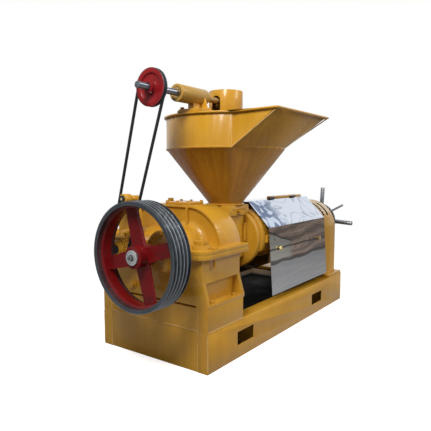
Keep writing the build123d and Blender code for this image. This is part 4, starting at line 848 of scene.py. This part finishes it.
# %% Weld ripples
def weld_recipe():
    """Ripples of a hand weld: balls along every edge of the carrier."""
    r = Recipe("weld_ripples", {
        "Spacing": ("NodeSocketFloat", 0.006), "Width": ("NodeSocketFloat", 0.008),
        "Seed": ("NodeSocketInt", 4), "Finish": ("NodeSocketMaterial", None)})
    line = r.node("GeometryNodeMeshToCurve", {}, {0: r.given["Carrier"]})
    line = r.node("GeometryNodeResampleCurve", {"mode": "LENGTH"},
                  {"Curve": line, "Length": r.given["Spacing"]})
    ball = r.node("GeometryNodeMeshIcoSphere", {}, {"Radius": 0.5, "Subdivisions": 2})
    ball = r.node("GeometryNodeSetShadeSmooth", {}, {0: ball})
    uneven = r.node("FunctionNodeRandomValue", {"data_type": "FLOAT"},
                    {2: 0.8, 3: 1.25, "Seed": r.given["Seed"]}, output=1)
    size = r.times(uneven, r.given["Width"])
    beads = r.node("GeometryNodeInstanceOnPoints", {}, {"Points": line, "Instance": ball, "Scale": size})
    r.close(beads)
    return r


welds = weld_recipe()
print("recipe", welds.tree.name)

# %% [markdown]
# ## A recipe for hexagon screws
#
# Every small screw is a washer, a hexagon and a flat crown. The recipe stands one on each point of
# its carrier, along one axis, and turns each by a random angle, as a fitter leaves them.

# %% Hexagon screws
def prism(r, corners, top, bottom, depth, lift=0.0):
    """A short cone or prism, lifted along its own axis."""
    shape = r.node("GeometryNodeMeshCone", {}, {"Vertices": corners, "Radius Top": top,
                                                "Radius Bottom": bottom, "Depth": depth})
    if lift:
        shape = r.node("GeometryNodeTransform", {}, {"Geometry": shape, "Translation": (0, 0, lift)})
    return shape


def screw_recipe():
    """Hexagon screws on washers, one on each point of the carrier, along one axis."""
    r = Recipe("hexagon_screws", {
        "Size": ("NodeSocketFloat", 0.008), "Axis": ("NodeSocketVector", (0, 0, 1)),
        "Seed": ("NodeSocketInt", 9), "Finish": ("NodeSocketMaterial", None)})
    washer = prism(r, 20, 1.25, 1.35, 0.22)
    head = prism(r, 6, 1.0, 1.0, 0.75, lift=0.20)
    crown = prism(r, 12, 0.62, 0.92, 0.16, lift=0.94)
    screw = r.node("GeometryNodeJoinGeometry", {}, {0: [washer, head, crown]})
    stand = r.node("FunctionNodeAlignRotationToVector", {"axis": "Z"}, {"Vector": r.given["Axis"]})
    turn = r.node("FunctionNodeRandomValue", {"data_type": "FLOAT"},
                  {2: 0.0, 3: 6.28, "Seed": r.given["Seed"]}, output=1)
    turn = r.node("ShaderNodeCombineXYZ", {}, {2: turn})
    places = r.node("GeometryNodeInstanceOnPoints", {},
                    {"Points": r.given["Carrier"], "Instance": screw, "Rotation": stand,
                     "Scale": r.given["Size"]})
    places = r.node("GeometryNodeRotateInstances", {}, {"Instances": places, "Rotation": turn})
    r.close(places)
    return r


screws = screw_recipe()
print("recipe", screws.tree.name)

# %% [markdown]
# ## A recipe for smooth beads
#
# Thin sheet is welded in one smooth pass, so its seam is a round bead and not a row of ripples.
# This recipe sweeps a circle along the carrier. The two helpers below it make a carrier from lists
# of points, and hand a grown piece to the body that it moves with.

# %% Smooth beads and carriers
def bead_recipe():
    """A smooth round bead along every edge of the carrier."""
    r = Recipe("smooth_bead", {
        "Radius": ("NodeSocketFloat", 0.003), "Finish": ("NodeSocketMaterial", None)})
    line = r.node("GeometryNodeMeshToCurve", {}, {0: r.given["Carrier"]})
    ring = r.node("GeometryNodeCurvePrimitiveCircle", {},
                  {"Resolution": 10, "Radius": r.given["Radius"]})
    tube = r.node("GeometryNodeCurveToMesh", {},
                  {"Curve": line, "Profile Curve": ring, "Fill Caps": True})
    tube = r.node("GeometryNodeSetShadeSmooth", {}, {0: tube})
    r.close(tube)
    return r


def seam_mesh(name, lines):
    """A carrier of plain edges, from lists of points."""
    points = [p for line in lines for p in line]
    edges = []
    start = 0
    for line in lines:
        edges += [(start + i, start + i + 1) for i in range(len(line) - 1)]
        start += len(line)
    mesh = bpy.data.meshes.new(name)
    mesh.from_pydata(points, edges, [])
    return mesh


def fasten(piece, body):
    """Lets a grown piece ride on a body."""
    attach(piece, body)
    return piece


beads = bead_recipe()
print("recipe", beads.tree.name)

# %% [markdown]
# ## Welds of the base
#
# The base is welded from rolled channel. Where the recessed end plate meets the rails there is a
# bead down each corner, and the box under the gearbox is stitched to the rails. The seams run along
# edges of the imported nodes, so their places are read from the nodes' boxes.

# %% Base welds
rail_low, rail_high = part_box("base_rail_near")
riser_low, riser_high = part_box("gearbox_riser")
CORNER = 0.068
RECESS = 0.002
FLANGE = 0.083
x_left = rail_low.x + RECESS
x_right = rail_high.x - RECESS
x_step = riser_high.x + 0.001
y_near = rail_low.y
y_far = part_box("base_rail_far")[1].y
top = rail_high.z


def end_seams(x, z0, z1):
    """The two upright seams of an end plate."""
    return [[(x, y, z0), (x, y, z1)] for y in (y_near + CORNER, y_far - CORNER)]


seams = end_seams(x_left, 0.008, riser_low.z - 0.004) + end_seams(x_right, 0.008, top - 0.004)
seams += end_seams(x_left, riser_low.z + 0.004, riser_high.z - 0.006)
seams.append([(x_left, y_near + CORNER, top), (x_left, y_far - CORNER, top)])
seams.append([(riser_low.x + 0.003, y_near + 0.0012, top), (riser_high.x, y_near + 0.0012, top)])
seams.append([(x_step, y_near + 0.003, top), (x_step, y_near + FLANGE, top)])
seams.append([(x_step, y_far - FLANGE, top), (x_step, y_far - 0.003, top)])
for y in (y_near + 0.001, y_far - 0.001):
    seams.append([(x_left - 0.001, y, 0.015), (x_left - 0.001, y, top - 0.02)])
base_welds = grown("base_welds", welds, seam_mesh("base_seams", seams),
                   {"Spacing": 0.0042, "Width": 0.0064, "Seed": 4, "Finish": seam_paint_painted_highlight})
fasten(base_welds, "root")

# %% [markdown]
# The frame at the cake end carries the whole thrust of the press, so its legs are welded to the foot
# plate with a heavier bead all round.

# %% Frame welds
LEG = 0.228
LEG_INSET = 0.010
foot_top = top + 0.020
main_y = main_axis[0]
legs_x = (FRAME_HIGH.x - LEG_INSET, FRAME_LOW.x + LEG_INSET)
legs_y = (main_y - LEG, main_y + LEG)
seams = [[(x, legs_y[0], foot_top), (x, legs_y[1], foot_top)] for x in legs_x]
seams += [[(legs_x[1], y, foot_top), (legs_x[0], y, foot_top)] for y in legs_y]
frame_welds = grown("frame_welds", welds, seam_mesh("frame_seams", seams),
                    {"Spacing": 0.005, "Width": 0.009, "Seed": 7, "Finish": plate_paint})
fasten(frame_welds, "root")

# %% [markdown]
# ## Seams of the hopper
#
# The drum, cone and chute are bent from sheet and welded on the outside, so every crease carries a
# thin smooth bead under the paint: round the drum, up both sides of the chute, and along the two
# creases that run out to the corners of its mouth.

# %% Hopper seams
HOPPER_X = -0.361
DRUM_RADIUS = 0.3695
CHUTE_ANGLE = 50
MOUTH_X = (-0.6695, -0.0405)
SEAM_STEPS = 8
rim_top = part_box("hopper_rim")[1].z - 0.012
mouth_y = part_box("hopper")[0].y + 0.001


def drum_point(degrees, radius, height):
    """A point on the hopper's round wall, by angle from +X."""
    turn = math.radians(degrees)
    return (HOPPER_X + radius * math.cos(turn), main_y + radius * math.sin(turn), height)


front = [drum_point(-90 - CHUTE_ANGLE + CHUTE_ANGLE * 2 * i / SEAM_STEPS, DRUM_RADIUS - 0.003, HOPPER_SEAM)
         for i in range(SEAM_STEPS + 1)]
round_part = [drum_point(-90 + CHUTE_ANGLE + 10 * i, DRUM_RADIUS + 0.0005, HOPPER_SEAM)
              for i in range(27)]
mouth = [(x, mouth_y, rim_top) for x in MOUTH_X]
seams = [front, round_part]
seams += [[end, (*end[:2], rim_top)] for end in (front[0], front[-1])]
seams += [[front[0], mouth[0]], [front[-1], mouth[1]]]
hopper_seams = grown("hopper_seams", beads, seam_mesh("hopper_lines", seams),
                     {"Radius": 0.0036, "Finish": seam_paint_painted_highlight})
fasten(hopper_seams, "root")

# %% [markdown]
# ## Small screws
#
# Two small black screws sit near one edge of the guard door, and a screw stands in the hub of the
# feeder pulley. The recipe for hexagon screws makes both sets. They ride on the door and on the
# feeder, so they move with them.

# %% Door screws
door_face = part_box("guard_door")[0].y + 0.0008
DOOR_SCREWS = [(-0.176, 0.662), (-0.176, 0.626)]
places = [(x, door_face, z) for x, z in DOOR_SCREWS]
door_screws = grown("door_screws", screws, seam_mesh("door_points", [places]),
                    {"Size": 0.0042, "Axis": (0, -1, 0), "Seed": 3, "Finish": black_steel})
fasten(door_screws, "door")

# %% Grub screw
HUB_RADIUS = 0.033
GRUB_TURN = Vector((0, -0.45, -0.89))
hub_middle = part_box("feeder_pulley")[0].x + 0.0065
grub_place = (hub_middle, feeder_axis[0] + GRUB_TURN.y * HUB_RADIUS,
              feeder_axis[1] + GRUB_TURN.z * HUB_RADIUS)
grub_screw = grown("grub_screw", screws, seam_mesh("grub_point", [[grub_place]]),
                   {"Size": 0.0046, "Axis": GRUB_TURN, "Seed": 2, "Finish": bright_steel})
fasten(grub_screw, "feeder")

# %% [markdown]
# ## Floor
#
# A plain pale floor keeps the shadow. It glows a little, so that it looks white to the eye without
# more light on the press; under the base it doesn't, because there it is dark. Mirrors see it pale,
# and soft light sees a duller floor, so that it doesn't light the press from below.

# %% Floor
FLOOR_HALF = 30.0
UNDER_BASE = (0.80, 0.14)
WHITE = (1.0, 1.0, 1.0, 1.0)


def studio_floor():
    """The pale ground: white to the eye, with the shadow kept, and dull to soft light."""
    mesh = bpy.data.meshes.new("floor")
    corners = [(-1, -1), (1, -1), (1, 1), (-1, 1)]
    mesh.from_pydata([(FLOOR_HALF * x, FLOOR_HALF * y, 0) for x, y in corners], [], [(0, 1, 2, 3)])
    floor = bpy.data.objects.new("floor", mesh)
    scene.collection.objects.link(floor)
    f = Finish("floor_white")
    x, y, z = f.axes()
    glow = f.node("ShaderNodeEmission", {}, {"Color": WHITE, "Strength": 0.70})
    pale = f.surface(colour=(0.85, 0.85, 0.85), rough=1.0)
    lit = f.node("ShaderNodeAddShader", {}, {0: glow, 1: pale})
    under = (x * x < UNDER_BASE[0]) * (y * y < UNDER_BASE[1])
    lit = f.node("ShaderNodeMixShader", {}, {0: under, 1: lit, 2: pale})
    plain = f.node("ShaderNodeEmission", {}, {"Color": WHITE, "Strength": 1.0})
    away = ((x * x + y * y) ** 0.5).step(1.6, 3.4)
    seen = f.node("ShaderNodeMixShader", {}, {0: away, 1: lit, 2: plain})
    dull = f.surface(colour=(0.22, 0.21, 0.20), rough=1.0)
    others = f.node("ShaderNodeMixShader", {}, {0: f.mirror_ray(), 1: dull, 2: pale})
    mixed = f.node("ShaderNodeMixShader", {}, {0: f.camera_ray(), 1: others, 2: seen})
    mesh.materials.append(f.output(mixed))
    return floor


print("floor", studio_floor().name)

# %% [markdown]
# ## World and lamps
#
# The light is a bright overcast sky with one lamp at the pulley end and a broad one at the side,
# which is where the photograph's brightest faces look. The eye and mirrors see a white room.

# %% World and lamps
WORLD_LIGHT = 0.28


def studio_world():
    """Even soft light from all round, plain white to the eye and in mirrors."""
    world = bpy.data.worlds.new("studio")
    scene.world = world
    world.use_nodes = True
    world.node_tree.nodes.clear()
    f = Finish(None, world.node_tree)
    seen = f.node("ShaderNodeBackground", {}, {"Color": WHITE, "Strength": 1.0})
    light = f.node("ShaderNodeBackground", {}, {"Color": WHITE, "Strength": WORLD_LIGHT})
    looked_at = (f.camera_ray() + f.mirror_ray()).limited()
    mixed = f.node("ShaderNodeMixShader", {}, {0: looked_at, 1: light, 2: seen})
    f.node("ShaderNodeOutputWorld", {}, {"Surface": mixed}, output=None)


def lamp(name, place, aim, size, power):
    """A square soft lamp that looks at a point."""
    data = bpy.data.lights.new(name, "AREA")
    data.size = size
    data.energy = power
    made = bpy.data.objects.new(name, data)
    made.location = place
    made.rotation_euler = (Vector(aim) - Vector(place)).to_track_quat("-Z", "Y").to_euler()
    scene.collection.objects.link(made)
    print("lamp", name, power, "W")


studio_world()
lamp("key", (-2.6, -0.9, 3.1), (-0.4, -0.1, 0.9), 1.0, 88)
lamp("side", (1.0, -4.2, 3.4), (0.1, 0, 0.5), 1.8, 88)
